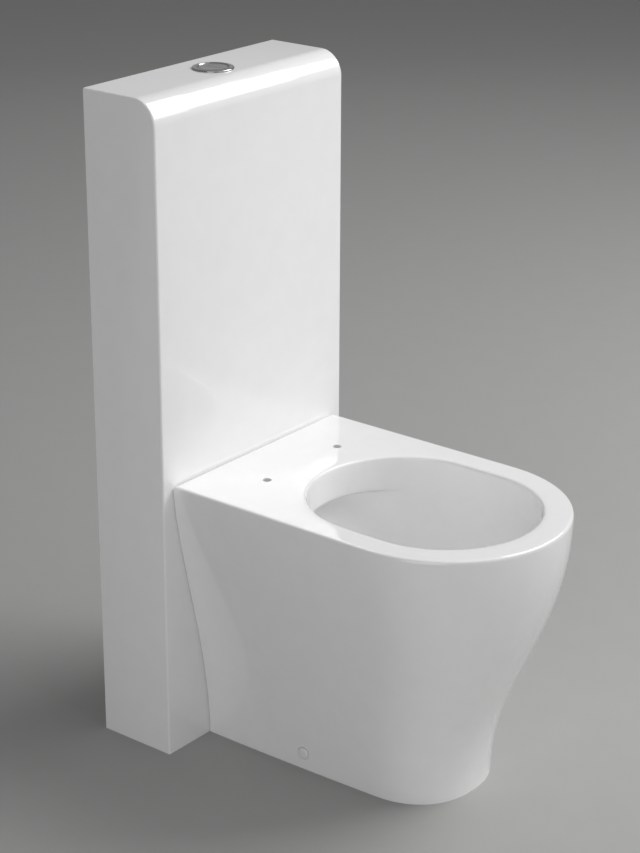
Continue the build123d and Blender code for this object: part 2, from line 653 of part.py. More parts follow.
def make_jacket():
    """The foam jacket that keeps the tank's front and sides from sweating."""
    z = (TANK_BASE + 2 * TANK_WALL, TANK_BASE + 2 * TANK_WALL + JACKET_HEIGHT)
    reach = TANK_HALF + JACKET_THICKNESS
    outer = bar((-reach, reach), (TANK_FRONT_Y - JACKET_THICKNESS, TANK_BACK_Y - 12), z)
    outer = fillet(outer.edges().filter_by(Axis.Z).group_by(Axis.Y)[0], TANK_ROUND + JACKET_THICKNESS)
    inner = bar((-TANK_HALF, TANK_HALF), (TANK_FRONT_Y, TANK_BACK_Y), z)
    return outer - fillet(inner.edges().filter_by(Axis.Z).group_by(Axis.Y)[0], TANK_ROUND)


def make_tank_pad():
    """The right-hand rubber pad between the tank and its ledge."""
    x = (TANK_HALF - PAD_WIDTH - 2, TANK_HALF - 2)
    return bar(x, (INNER_Y + 10, TANK_BACK_Y - 12), (LEDGE_Z, TANK_BASE))


def make_clip():
    """The right-hand steel clip that ties the tank to the casing's wall tab."""
    x = (CLIP_SCREW_X - 9, INNER_X - ROOM)
    half = CLIP_HEIGHT / 2
    y = (TANK_BACK_Y, TANK_BACK_Y + CLIP_THICKNESS)
    clip = bar(x, y, (WALL_HOLE_Z - half, WALL_HOLE_Z + half))
    clip = fillet(clip.edges().filter_by(Axis.Y), 4)
    clip -= along_y(WALL_HOLE_RADIUS, WALL_HOLE_X, (y[0] - 1, y[1] + 1), WALL_HOLE_Z)
    return clip - along_y(CLIP_SCREW_RADIUS, CLIP_SCREW_X, (y[0] - 1, y[1] + 1), WALL_HOLE_Z)


def make_clip_screws():
    """The two screws that hold the clips to the tank's bosses."""
    seat = TANK_BACK_Y + CLIP_THICKNESS
    low = TANK_BACK_Y - TANK_WALL - BOSS_LENGTH + 3
    screw = along_y(CLIP_SCREW_RADIUS, CLIP_SCREW_X, (low, seat), WALL_HOLE_Z)
    head = along_y(2 * CLIP_SCREW_RADIUS, CLIP_SCREW_X, (seat, seat + 2.5), WALL_HOLE_Z)
    slot = bar((CLIP_SCREW_X - 5, CLIP_SCREW_X + 5), (seat + 1.5, seat + 3),
               (WALL_HOLE_Z - 0.5, WALL_HOLE_Z + 0.5))
    screw += head - slot
    return Compound([screw.solid(), mirrored(screw).solid()])


# ---------------------------------------------------------------- flush button
def make_bezel():
    """The chromed ring round the buttons, rounded at its rim and chamfered inside."""
    ring = tube(BEZEL_RADIUS, BUTTON_RADIUS + BUTTON_GAP, 0, BUTTON_Y,
                (SLEEVE_TOP, SLEEVE_TOP + BEZEL_THICKNESS))
    top = ring.edges().group_by(Axis.Z)[-1].sort_by(SortBy.LENGTH)
    ring = fillet(top[-1], BEZEL_ROUND)
    top = ring.edges().group_by(Axis.Z)[-1].sort_by(SortBy.LENGTH)
    return chamfer(top[0], BUTTON_RECESS / 2)


def make_sleeve():
    """The housing under the bezel, with a guide plate for the two push rods."""
    bore = BUTTON_RADIUS + BUTTON_GAP
    sleeve = tube(SLEEVE_RADIUS, bore, 0, BUTTON_Y, (GUIDE_Z, SLEEVE_TOP))
    plate = rod(bore + 1, 0, BUTTON_Y, (GUIDE_Z, GUIDE_Z + GUIDE_THICKNESS))
    for side in (-1, 1):
        plate -= rod(STEM_RADIUS + RUN, side * STEM_OFFSET, BUTTON_Y, (GUIDE_Z - 1, BUTTON_BASE))
    return sleeve + plate


def make_button(side):
    """One button: a D-shaped disc with a shallow finger hollow and a socket for its rod."""
    z = (BUTTON_BASE, BUTTON_TOP)
    disc = rod(BUTTON_RADIUS, 0, BUTTON_Y, z)
    split = SPLIT_OFFSET + side * BUTTON_GAP / 2
    reach = side * 2 * BUTTON_RADIUS
    half = bar(sorted((split, split + reach)), (BUTTON_Y - 50, BUTTON_Y + 50), z)
    button = disc & half
    x = side * STEM_OFFSET
    hollow_z = BUTTON_TOP + BUTTON_HOLLOW_RADIUS - BUTTON_HOLLOW
    hollow = Pos(x, BUTTON_Y, hollow_z) * Sphere(BUTTON_HOLLOW_RADIUS)
    button -= hollow
    button += tube(STEM_RADIUS + 2, STEM_RADIUS, x, BUTTON_Y, (BUTTON_BASE - STEM_SOCKET, BUTTON_BASE))
    return button


def make_push_rod(side):
    """The rod from a button down to its rocker, with a round tip that rolls on it."""
    x = side * STEM_OFFSET
    tip = ROD_END_Z + STEM_RADIUS
    return rod(STEM_RADIUS, x, BUTTON_Y, (tip, BUTTON_BASE)) + Pos(x, BUTTON_Y, tip) * Sphere(STEM_RADIUS)


def make_spring(side):
    """The coil spring that lifts a button."""
    low = GUIDE_Z + GUIDE_THICKNESS + SPRING_WIRE + RUN
    high = BUTTON_BASE - SPRING_WIRE - RUN
    path = Helix((high - low) / SPRING_TURNS, high - low, SPRING_RADIUS)
    wire = sweep(Plane(origin=path @ 0, z_dir=path % 0) * Circle(SPRING_WIRE), path=path, is_frenet=True)
    return Pos(side * STEM_OFFSET, BUTTON_Y, low) * wire


# ---------------------------------------------------------------- flush valve
def make_valve_body():
    """The flush valve's fixed part: shank, flange, seat, windowed tower and rocker lugs."""
    flange = FLOOR_Z + WASHER_THICKNESS
    base = flange + FLANGE_THICKNESS
    body = rod(SHANK_RADIUS, 0, BUTTON_Y, (TANK_BASE - SHANK_DROP, SEAT_Z))
    body += rod(FLANGE_RADIUS, 0, BUTTON_Y, (flange, base))
    body -= rod(FLUSH_PIPE_RADIUS, 0, BUTTON_Y, (0, CASING_HEIGHT))
    tower = tube(TOWER_RADIUS, TOWER_RADIUS - TOWER_WALL, 0, BUTTON_Y, (base, TOWER_Z))
    tower += rod(TOWER_RADIUS, 0, BUTTON_Y, (TOWER_Z - 4, TOWER_Z))
    window = SEAT_Z + 45
    reach = 2 * TOWER_RADIUS
    slot = TOWER_RADIUS / 2
    y = (BUTTON_Y - reach, BUTTON_Y + reach)
    side_y = (BUTTON_Y - slot, BUTTON_Y + slot)
    tower -= bar((-slot, slot), y, (base + 3, window))
    tower -= bar((-reach, reach), side_y, (base + 3, window))
    tower -= bar((-slot, slot), y, (window + 20, TOWER_Z - 20))
    tower -= rod(RISER_RADIUS + RUN, 0, BUTTON_Y, (TOWER_Z - 10, TOWER_Z + 10))
    for side in (-1, 1):
        for face in (-1, 1):
            cheek_y = sorted((BUTTON_Y + face * LUG_Y, BUTTON_Y + face * (LUG_Y + CHEEK)))
            x = sorted((side * (PIVOT_X - 5), side * (PIVOT_X + 5)))
            tower += bar(x, cheek_y, (TOWER_Z - 1, ROCKER_Z + 4))
        hole = (BUTTON_Y - reach, BUTTON_Y + reach)
        tower -= along_y(PIN_RADIUS, side * PIVOT_X, hole, ROCKER_Z)
    guide = TOWER_Z - PART_FLOAT_DROP + PART_FLOAT_HEIGHT
    tower += bar((TOWER_RADIUS - 1, LIFT_X + 6), (BUTTON_Y - 5, BUTTON_Y + 5), (guide, guide + 4))
    tower -= rod(STEM_RADIUS + RUN, LIFT_X, BUTTON_Y, (guide - 1, guide + 5))
    return body + tower


def make_riser():
    """The overflow tube with the disc that carries the flush seal."""
    riser = rod(RISER_RADIUS, 0, BUTTON_Y, (DISC_Z, RISER_TOP))
    riser += rod(DISC_RADIUS, 0, BUTTON_Y, (DISC_Z, DISC_Z + 4))
    return riser - rod(RISER_RADIUS - RISER_WALL, 0, BUTTON_Y, (DISC_Z - 1, RISER_TOP + 1))


def make_yoke():
    """The yoke on the riser's top that the full-flush rocker lifts."""
    yoke = rod(RISER_RADIUS + 3, 0, BUTTON_Y, (YOKE_Z, RISER_TOP))
    far = (-LIFT_X - 4, -LIFT_X + 4)
    for face in (-1, 1):
        y = sorted((BUTTON_Y + face * YOKE_Y, BUTTON_Y + face * (YOKE_Y + CHEEK)))
        yoke += bar((far[0], -RISER_RADIUS + 4), y, (YOKE_Z, RISER_TOP))
        yoke += bar(far, y, (YOKE_Z, CROSS_Z + 4))
    cross = (BUTTON_Y - YOKE_Y - 1, BUTTON_Y + YOKE_Y + 1)
    yoke += along_y(KNUCKLE_RADIUS, -LIFT_X, cross, CROSS_Z)
    return yoke - rod(RISER_RADIUS, 0, BUTTON_Y, (YOKE_Z - 1, RISER_TOP + 1))


def make_rocker(side):
    """A rocker: a bar with rounded knuckles at both ends and a hole for its pin."""
    y = (BUTTON_Y - ROCKER_WIDTH / 2, BUTTON_Y + ROCKER_WIDTH / 2)
    x = sorted((side * STEM_OFFSET, side * LIFT_X))
    body = bar(x, y, (ROCKER_Z - KNUCKLE_RADIUS, ROCKER_Z + KNUCKLE_RADIUS))
    for place in (STEM_OFFSET, LIFT_X):
        body += along_y(KNUCKLE_RADIUS, side * place, y, ROCKER_Z)
    body += along_y(KNUCKLE_RADIUS + 1.2, side * PIVOT_X, y, ROCKER_Z)
    return body - along_y(PIN_RADIUS + RUN, side * PIVOT_X, y, ROCKER_Z)


def make_rocker_pin(side):
    """The pin a rocker turns on."""
    reach = LUG_Y + CHEEK
    return along_y(PIN_RADIUS, side * PIVOT_X, (BUTTON_Y - reach, BUTTON_Y + reach), ROCKER_Z)


def make_part_lift():
    """The stirrup and rod that the half-flush rocker lifts."""
    low = ROCKER_Z - 20
    x = (LIFT_X - 4, LIFT_X + 4)
    reach = YOKE_Y + CHEEK
    lift = bar(x, (BUTTON_Y - reach, BUTTON_Y + reach), (low, low + 5))
    for face in (-1, 1):
        y = sorted((BUTTON_Y + face * YOKE_Y, BUTTON_Y + face * reach))
        lift += bar(x, y, (low, CROSS_Z + 4))
    lift += along_y(KNUCKLE_RADIUS, LIFT_X, (BUTTON_Y - reach, BUTTON_Y + reach), CROSS_Z)
    return lift + rod(STEM_RADIUS, LIFT_X, BUTTON_Y, (TOWER_Z - PART_FLOAT_DROP, low))


def make_part_float():
    """The small float on the half-flush rod."""
    top = TOWER_Z - PART_FLOAT_DROP + PART_FLOAT_HEIGHT - RISER_LIFT - 5
    x = (TOWER_RADIUS + ROOM, 2 * LIFT_X - TOWER_RADIUS - ROOM)
    body = bar(x, (BUTTON_Y - 16, BUTTON_Y + 16), (top - PART_FLOAT_HEIGHT, top))
    body = fillet(body.edges().filter_by(Axis.Z), 4)
    return body - rod(STEM_RADIUS, LIFT_X, BUTTON_Y, (TOWER_Z - PART_FLOAT_DROP, top + 1))


def make_base_washer():
    """The rubber washer under the flush valve's flange."""
    return tube(FLANGE_RADIUS, SHANK_RADIUS, 0, BUTTON_Y, (FLOOR_Z, FLOOR_Z + WASHER_THICKNESS))


def make_back_nut():
    """The nut that clamps the flush valve to the tank's floor."""
    return hex_nut(SHANK_RADIUS + NUT_LAP, SHANK_RADIUS, 0, BUTTON_Y, (TANK_BASE - NUT_HEIGHT, TANK_BASE))


def make_coupling_nut():
    """The nut that holds the flush pipe in the shank."""
    end = TANK_BASE - SHANK_DROP
    low = end - 6
    nut = rod(SHANK_RADIUS + 6, 0, BUTTON_Y, (low, low + COUPLING_HEIGHT))
    nut -= rod(SHANK_RADIUS, 0, BUTTON_Y, (end, low + COUPLING_HEIGHT))
    for step in range(12):
        turn = 2 * pi * step / 12
        reach = SHANK_RADIUS + 7.5
        nut -= rod(3, reach * cos(turn), BUTTON_Y + reach * sin(turn), (low, low + COUPLING_HEIGHT))
    return nut - rod(FLUSH_PIPE_RADIUS, 0, BUTTON_Y, (low, end))


def make_riser_seal():
    """The rubber seal under the riser's disc."""
    return tube(DISC_RADIUS + 1, RISER_RADIUS - RISER_WALL, 0, BUTTON_Y, (SEAT_Z, DISC_Z))


# ---------------------------------------------------------------- fill valve
def make_fill_body():
    """The fill valve's threaded inlet, flange and column."""
    flange = FLOOR_Z + WASHER_THICKNESS
    shoulder = TANK_BASE - NUT_HEIGHT
    body = rod(THREAD_RADIUS, -FILL_OFFSET, BUTTON_Y, (shoulder - THREAD_LENGTH, shoulder))
    body += rod(STUD_RADIUS, -FILL_OFFSET, BUTTON_Y, (shoulder, flange))
    body += rod(STUD_RADIUS + 6, -FILL_OFFSET, BUTTON_Y, (flange, flange + 3))
    body += rod(COLUMN_RADIUS, -FILL_OFFSET, BUTTON_Y, (flange, HEAD_Z))
    bore = (shoulder - THREAD_LENGTH - 1, HEAD_Z - 6)
    return body - rod(THREAD_RADIUS - 3, -FILL_OFFSET, BUTTON_Y, bore)


def make_fill_cap():
    """The fill valve's head, with two lugs for the lever's pin."""
    cap = rod(HEAD_RADIUS, -FILL_OFFSET, BUTTON_Y, (HEAD_Z, HEAD_Z + HEAD_HEIGHT))
    cap = fillet(cap.edges().group_by(Axis.Z)[-1], 2)
    inner = LEVER_WIDTH / 2 + FREE
    for face in (-1, 1):
        y = sorted((BUTTON_Y + face * inner, BUTTON_Y + face * (inner + CHEEK)))
        cap += bar((LEVER_X - 4, LEVER_X + 4), y, (HEAD_Z + HEAD_HEIGHT - 3, LEVER_Z + 4))
    return cap - along_y(PIN_RADIUS, LEVER_X, (BUTTON_Y - 20, BUTTON_Y + 20), LEVER_Z)


def make_fill_float():
    """The fill valve's float, free on the column."""
    low = FLOOR_Z + FLOAT_LEVEL
    half = FLOAT_WIDTH / 2
    y = (BUTTON_Y - FLOAT_DEPTH / 2, BUTTON_Y + FLOAT_DEPTH / 2)
    body = bar((-FILL_OFFSET - half - 3, -FILL_OFFSET + half - 3), y, (low, low + FLOAT_HEIGHT))
    body = fillet(body.edges().filter_by(Axis.Z), 8)
    return body - rod(COLUMN_RADIUS + FREE, -FILL_OFFSET, BUTTON_Y, (low - 1, low + FLOAT_HEIGHT + 1))


def make_float_rod():
    """The rod from the float up to the lever, with the collar the lever rests on."""
    top = LEVER_Z - KNUCKLE_RADIUS - LIFT_GAP
    stem = rod(FLOAT_ROD_RADIUS, FLOAT_X, BUTTON_Y, (FLOOR_Z + FLOAT_LEVEL + FLOAT_HEIGHT, LEVER_Z + 8))
    return stem + rod(5, FLOAT_X, BUTTON_Y, (top - 4, top))


def make_lever():
    """The fill valve's lever, forked round the float rod."""
    y = (BUTTON_Y - LEVER_WIDTH / 2, BUTTON_Y + LEVER_WIDTH / 2)
    lever = bar((FLOAT_X, LEVER_X), y, (LEVER_Z - KNUCKLE_RADIUS, LEVER_Z + KNUCKLE_RADIUS))
    for x in (FLOAT_X, LEVER_X):
        lever += along_y(KNUCKLE_RADIUS, x, y, LEVER_Z)
    slot = FLOAT_ROD_RADIUS + FREE
    lever -= bar((FLOAT_X - 5, FLOAT_X + 5), (BUTTON_Y - slot, BUTTON_Y + slot), (LEVER_Z - 5, LEVER_Z + 5))
    return lever - along_y(PIN_RADIUS + RUN, LEVER_X, y, LEVER_Z)


def make_lever_pin():
    """The pin the lever turns on."""
    reach = LEVER_WIDTH / 2 + FREE + CHEEK
    return along_y(PIN_RADIUS, LEVER_X, (BUTTON_Y - reach, BUTTON_Y + reach), LEVER_Z)


def make_fill_washer():
    """The rubber washer under the fill valve's flange."""
    z = (FLOOR_Z, FLOOR_Z + WASHER_THICKNESS)
    return tube(STUD_RADIUS + 6, STUD_RADIUS, -FILL_OFFSET, BUTTON_Y, z)


def make_fill_nut():
    """The nut that clamps the fill valve to the tank's floor."""
    z = (TANK_BASE - NUT_HEIGHT, TANK_BASE)
    return hex_nut(STUD_RADIUS + 7, STUD_RADIUS, -FILL_OFFSET, BUTTON_Y, z)


# ---------------------------------------------------------------- all the sub-parts
def make_nodes():
    """Every sub-part by name."""
    gasket_z = (CASING_HEIGHT, SLEEVE_TOP)
    nut_z = (CASING_HEIGHT - CASING_TOP - SLEEVE_NUT_HEIGHT, CASING_HEIGHT - CASING_TOP)
    pan, bowl, trap = split_pan()
    nodes = {
        "pan": pan,
        "pan_bowl": bowl,
        "pan_trap": trap,
        "cistern_casing": make_casing(),
        "pan_back_gasket": make_back_gasket(),
        "skirt_screws": make_skirt_screws(),
        "waste_seal": make_waste_seal(),
        "waste_connector": make_waste_connector(),
        "flush_pipe": make_flush_pipe(),
        "flush_inlet_seal": make_inlet_seal(),
        "inner_tank": make_tank(),
        "tank_lid": make_lid(),
        "insulation_jacket": make_jacket(),
        "clip_screws": make_clip_screws(),
        "button_bezel": make_bezel(),
        "button_sleeve": make_sleeve(),
        "bezel_gasket": tube(BEZEL_RADIUS - 1, SLEEVE_RADIUS, 0, BUTTON_Y, gasket_z),
        "sleeve_nut": hex_nut(SLEEVE_RADIUS + SLEEVE_NUT_LAP, SLEEVE_RADIUS, 0, BUTTON_Y, nut_z),
        "flush_valve_body": make_valve_body(),
        "valve_base_washer": make_base_washer(),
        "valve_back_nut": make_back_nut(),
        "pipe_coupling_nut": make_coupling_nut(),
        "overflow_riser": make_riser(),
        "riser_seal": make_riser_seal(),
        "riser_yoke": make_yoke(),
        "part_flush_lift": make_part_lift(),
        "part_flush_float": make_part_float(),
        "fill_valve_body": make_fill_body(),
        "fill_valve_cap": make_fill_cap(),
        "fill_valve_washer": make_fill_washer(),
        "fill_valve_nut": make_fill_nut(),
        "fill_float": make_fill_float(),
        "fill_float_rod": make_float_rod(),
        "fill_lever": make_lever(),
        "fill_lever_pin": make_lever_pin(),
    }
    pairs = {
        "fixing_cap": make_cap(),
        "floor_bracket": make_floor_bracket(),
        "tank_pad": make_tank_pad(),
        "tank_clip": make_clip(),
    }
    for name, shape in pairs.items():
        nodes[name + "_right"] = shape
        nodes[name + "_left"] = mirrored(shape)
    for name, side in (("full", -1), ("half", 1)):
        nodes[name + "_button"] = make_button(side)
        nodes[name + "_push_rod"] = make_push_rod(side)
        nodes[name + "_spring"] = make_spring(side)
        nodes[name + "_rocker"] = make_rocker(side)
        nodes[name + "_rocker_pin"] = make_rocker_pin(side)
    return nodes


os.makedirs("parts", exist_ok=True)
for node, shape in make_nodes().items():
    export_step(shape, f"parts/{node}.step")
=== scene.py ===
# %% [markdown]
# # A close coupled toilet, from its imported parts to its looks
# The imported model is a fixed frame: each part is already in place and in metres. This lesson gives
# every part its surface, remakes the parts whose form needs more care than a CAD mesh gives, and
# sets up a plain studio around the object. Nothing that belongs to the frame is moved.

# %% Load the frame
import bmesh
import bpy
from math import cos, pi, radians, sin
from mathutils import Matrix, Vector


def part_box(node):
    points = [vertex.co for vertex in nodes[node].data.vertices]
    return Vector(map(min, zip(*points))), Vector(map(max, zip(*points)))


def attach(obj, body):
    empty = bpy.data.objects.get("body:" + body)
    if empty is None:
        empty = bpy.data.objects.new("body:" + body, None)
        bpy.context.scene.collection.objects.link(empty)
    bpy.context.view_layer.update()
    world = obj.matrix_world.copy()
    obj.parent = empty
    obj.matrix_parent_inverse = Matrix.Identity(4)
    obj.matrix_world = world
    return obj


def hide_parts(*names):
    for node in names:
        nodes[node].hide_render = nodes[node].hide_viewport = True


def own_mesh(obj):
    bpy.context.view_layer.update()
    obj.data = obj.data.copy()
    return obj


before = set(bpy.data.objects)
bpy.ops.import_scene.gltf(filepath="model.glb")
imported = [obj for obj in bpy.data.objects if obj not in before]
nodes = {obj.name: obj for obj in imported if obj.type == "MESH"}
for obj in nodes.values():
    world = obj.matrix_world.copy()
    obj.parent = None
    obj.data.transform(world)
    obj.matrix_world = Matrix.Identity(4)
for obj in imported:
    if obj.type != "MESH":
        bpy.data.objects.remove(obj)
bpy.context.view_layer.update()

# %% [markdown]
# ## Camera
# The object is seen from above its left front corner, with a long lens, so upright edges lean in
# only a little. The place and the angles below are in the frame's own metres.

# %% Camera
CAMERA_PLACE = (-2.28757, -1.73174, 1.64561)
CAMERA_YAW = 51.71996
CAMERA_PITCH = 21.73568
CAMERA_ROLL = 0.20472
CAMERA_LENS = 93.576


def camera_axes(yaw, pitch, roll):
    """The camera's right, up and backward directions for a yaw from +Y, a pitch down and a roll."""
    ahead = Vector((sin(yaw) * cos(pitch), cos(yaw) * cos(pitch), -sin(pitch)))
    right = Vector((cos(yaw), -sin(yaw), 0))
    up = right.cross(ahead)
    turned_right = right * cos(roll) + up * sin(roll)
    turned_up = up * cos(roll) - right * sin(roll)
    return turned_right, turned_up, -ahead


camera_data = bpy.data.cameras.new("camera")
camera_data.lens = CAMERA_LENS
camera_data.sensor_width = 36
camera = bpy.data.objects.new("camera", camera_data)
bpy.context.scene.collection.objects.link(camera)
axes = camera_axes(radians(CAMERA_YAW), radians(CAMERA_PITCH), radians(CAMERA_ROLL))
camera.matrix_world = Matrix.Translation(CAMERA_PLACE) @ Matrix(axes).transposed().to_4x4()
bpy.context.scene.camera = camera
print("camera at", CAMERA_PLACE, "lens", CAMERA_LENS, "mm")

# %% [markdown]
# ## Floor and light
# Glazed ware shows its form only through soft shading and what it mirrors. One broad light from the
# right and above brightens the casing's face and lays the shadow to the left. A broad low light on
# the left fills the shaded flank, and weak ones in front and overhead lift the face and the bowl.
# A weak panel at the back right gives the chrome a grey to mirror. The surround stays dim, which
# keeps the shadow dark.

# %% Floor and light
FLOOR_SIZE = 40
AIM = (0, 0, 0.5)
SURROUND = 0.19
LIGHTS = {
    "key_light": {"place": (2.4, -1.5, 3.1), "size": 2.7, "power": 128},
    "top_light": {"place": (0.2, -0.8, 3.2), "size": 1.6, "power": 7},
    "front_light": {"place": (0.4, -3.4, 1.5), "size": 2.6, "power": 10},
    "side_light": {"place": (-3.2, -1.4, 0.9), "size": 2.4, "power": 32},
    "back_light": {"place": (2.8, 2.7, 2.0), "size": 2.6, "power": 3.2},
}


def add_light(name, place, size, power):
    """A square soft light that faces the object."""
    data = bpy.data.lights.new(name, "AREA")
    data.shape = "SQUARE"
    data.size = size
    data.energy = power
    light = bpy.data.objects.new(name, data)
    bpy.context.scene.collection.objects.link(light)
    light.location = place
    light.rotation_euler = (Vector(place) - Vector(AIM)).to_track_quat("Z", "Y").to_euler()


for name, values in LIGHTS.items():
    add_light(name, **values)
bpy.ops.mesh.primitive_plane_add(size=FLOOR_SIZE)
floor = bpy.context.object
floor.name = "floor"
world = bpy.data.worlds.new("surround")
world.use_nodes = True
world.node_tree.nodes["Background"].inputs["Color"].default_value = (SURROUND,) * 3 + (1,)
bpy.context.scene.world = world
bpy.context.scene.view_settings.view_transform = "Standard"
print("lights:", ", ".join(LIGHTS))

# %% [markdown]
# ## Materials
# A finish is made from three things: its colour, how sharply it mirrors, and its fine relief. All
# three could be flat numbers, but real surfaces vary a little, so one pattern with a real grain
# size drives them together. The patterns read Object coordinates, which are metres here.

# %% Helpers for the materials
def linear(hex_colour):
    """A colour as the shader wants it, from an sRGB hex value."""
    channels = [int(hex_colour[k:k + 2], 16) / 255 for k in (1, 3, 5)]
    return [c / 12.92 if c <= 0.04045 else ((c + 0.055) / 1.055) ** 2.4 for c in channels] + [1]


def add_node(tree, kind, values=None, links=None, **settings):
    """Adds a node with its settings, its constant inputs and its links from other outputs."""
    node = tree.nodes.new(kind)
    for name, value in settings.items():
        setattr(node, name, value)
    for socket, value in (values or {}).items():
        node.inputs[socket].default_value = value
    for socket, source in (links or {}).items():
        tree.links.new(source, node.inputs[socket])
    return node


def finish(name, dark, pale, grain, relief, rough, sockets=None, stretch=(1, 1, 1),
           texture="ShaderNodeTexNoise"):
    """A material whose colour, gloss and relief follow one pattern. Grain and relief are in mm."""
    material = bpy.data.materials.new(name)
    material.use_nodes = True
    tree = material.node_tree
    shader = tree.nodes["Principled BSDF"]
    place = add_node(tree, "ShaderNodeTexCoord")
    spread = add_node(tree, "ShaderNodeMapping", {"Scale": stretch}, {"Vector": place.outputs["Object"]})
    pattern = add_node(tree, texture, {"Scale": 1000 / grain}, {"Vector": spread.outputs["Vector"]})
    share = pattern.outputs[0]
    tint = add_node(tree, "ShaderNodeValToRGB", links={"Fac": share})
    tint.color_ramp.elements[0].color = linear(dark)
    tint.color_ramp.elements[1].color = linear(pale)
    gloss = add_node(tree, "ShaderNodeMapRange", {"To Min": rough[0], "To Max": rough[1]}, {"Value": share})
    bump = add_node(tree, "ShaderNodeBump", {"Distance": relief / 1000}, {"Height": share})
    tree.links.new(tint.outputs["Color"], shader.inputs["Base Color"])
    tree.links.new(gloss.outputs["Result"], shader.inputs["Roughness"])
    tree.links.new(bump.outputs["Normal"], shader.inputs["Normal"])
    for socket, value in (sockets or {}).items():
        shader.inputs[socket].default_value = value
    return material


def coat_nodes(material, *names):
    """Gives CAD nodes, whose shape stays as it is, their material."""
    for name in names:
        nodes[name].data.materials.clear()
        nodes[name].data.materials.append(material)
    print(material.name, "on", len(names), "parts")


# %% [markdown]
# ### Vitreous china
# The pan and the casing are slip-cast clay, sprayed with a white glaze and fired. The body under
# the glaze is dense and plain, so nearly all that shows is the glaze: a clear, hard, wet-looking
# skin whose waves, some 30 mm apart, bend long reflections very slightly.

# %% Vitreous china
GLAZE = {"IOR": 1.52, "Coat Weight": 0.5, "Coat Roughness": 0.03, "Coat IOR": 1.5}
vitreous_china = finish("glazed_vitreous_china", "#F5F5F5", "#FAFAFA", 30, 0.02, (0.07, 0.1), GLAZE)

# %% [markdown]
# ### Plastics
# Injection-moulded plastics copy the steel of the mould. A spark-eroded mould leaves a fine matt
# grain, a polished one leaves a gloss, and natural polyethylene stays slightly waxy.

# %% Plastics
cap_plastic = finish("moulded_white_polypropylene", "#EDEDEB", "#F3F3F1", 1.2, 0.004, (0.16, 0.22))
tank_plastic = finish("blow_moulded_polyethylene", "#CFD2D1", "#DADCDB", 18, 0.12, (0.38, 0.5),
                      {"Subsurface Weight": 0.08, "Subsurface Scale": 0.004})
pipe_plastic = finish("extruded_white_pvc", "#DDDDD9", "#E6E6E2", 2.5, 0.01, (0.24, 0.34), None, (1, 0.1, 1))
valve_plastic = finish("moulded_grey_abs", "#A9AEB2", "#B6BABE", 0.9, 0.008, (0.3, 0.42))
blue_plastic = finish("moulded_blue_acetal", "#1E4A80", "#25548E", 0.9, 0.006, (0.26, 0.36))
float_plastic = finish("moulded_float_polypropylene", "#D9D8CF", "#E2E1D9", 1.2, 0.008, (0.36, 0.46))
nylon = finish("glass_filled_black_nylon", "#151516", "#232325", 0.8, 0.012, (0.42, 0.6))
coat_nodes(tank_plastic, "inner_tank", "tank_lid")
coat_nodes(pipe_plastic, "waste_connector", "flush_pipe")
coat_nodes(valve_plastic, "flush_valve_body", "overflow_riser", "fill_valve_body", "button_sleeve",
           "full_push_rod", "half_push_rod")
coat_nodes(blue_plastic, "riser_yoke", "full_rocker", "half_rocker", "part_flush_lift",
           "fill_valve_cap", "fill_lever")
coat_nodes(float_plastic, "part_flush_float", "fill_float", "fill_float_rod")
coat_nodes(nylon, "valve_back_nut", "pipe_coupling_nut", "fill_valve_nut", "sleeve_nut",
           "floor_bracket_left", "floor_bracket_right")

# %% [markdown]
# ### Rubber and foam
# Seals are moulded black EPDM, matt with a faint bloom. The strip behind the pan is a closed-cell
# foam and the jacket round the tank is expanded polystyrene, whose beads, 3 mm across, show as
# small domes with dark joints.

# %% Rubber and foam
seal_rubber = finish("moulded_epdm_rubber", "#101010", "#1D1D1D", 1.5, 0.02, (0.5, 0.7))
strip_foam = finish("closed_cell_foam", "#5C5C5C", "#747474", 0.8, 0.1, (0.8, 0.95), None, (1, 1, 1),
                    "ShaderNodeTexVoronoi")
jacket_foam = finish("expanded_polystyrene", "#F2F2EF", "#C9C9C5", 3, 0.35, (0.7, 0.9), None, (1, 1, 1),
                     "ShaderNodeTexVoronoi")
coat_nodes(seal_rubber, "waste_seal", "flush_inlet_seal", "bezel_gasket", "valve_base_washer",
           "riser_seal", "fill_valve_washer", "tank_pad_left", "tank_pad_right")
coat_nodes(strip_foam, "pan_back_gasket")
coat_nodes(jacket_foam, "insulation_jacket")

# %% [markdown]
# ### Metals
# The button is ABS plated with bright chrome: a mirror whose grey is that of the room. The screws
# and clips are zinc plated, with small cloudy crystals, and the pins and springs are drawn
# stainless wire, with fine lines along the wire.

# %% Metals
METAL = {"Metallic": 1.0}
chrome = finish("chrome_plated_abs", "#C3C4C5", "#CBCCCD", 6, 0.002, (0.07, 0.12), METAL)
zinc = finish("zinc_plated_steel", "#A3A49C", "#BCBDB6", 1.6, 0.006, (0.28, 0.42), METAL)
wire = finish("drawn_stainless_wire", "#9A9B9C", "#B2B3B4", 0.7, 0.004, (0.2, 0.32), METAL, (1, 1, 0.1))
coat_nodes(zinc, "skirt_screws", "clip_screws", "tank_clip_left", "tank_clip_right")
coat_nodes(wire, "full_spring", "half_spring", "full_rocker_pin", "half_rocker_pin", "fill_lever_pin")

# %% Floor paint
floor_paint = finish("matt_pale_floor_paint", "#ABABAA", "#AFAFAE", 60, 0.0, (0.55, 0.6))
floor.data.materials.append(floor_paint)
print("materials:", len([m for m in bpy.data.materials if m.users]))

# %% [markdown]
# ## Helpers for modelling
# Every operator acts on what is selected, so each step first clears the selection. Vertices and
# faces are picked in code by where they are, as one would box-select them by hand.

# %% Helpers for modelling
SHARP = radians(35)


def clear_selection():
    """Leaves edit mode and deselects everything, the CAD nodes too."""
    if bpy.context.mode != "OBJECT":
        bpy.ops.object.mode_set(mode="OBJECT")
    bpy.ops.object.select_all(action="DESELECT")


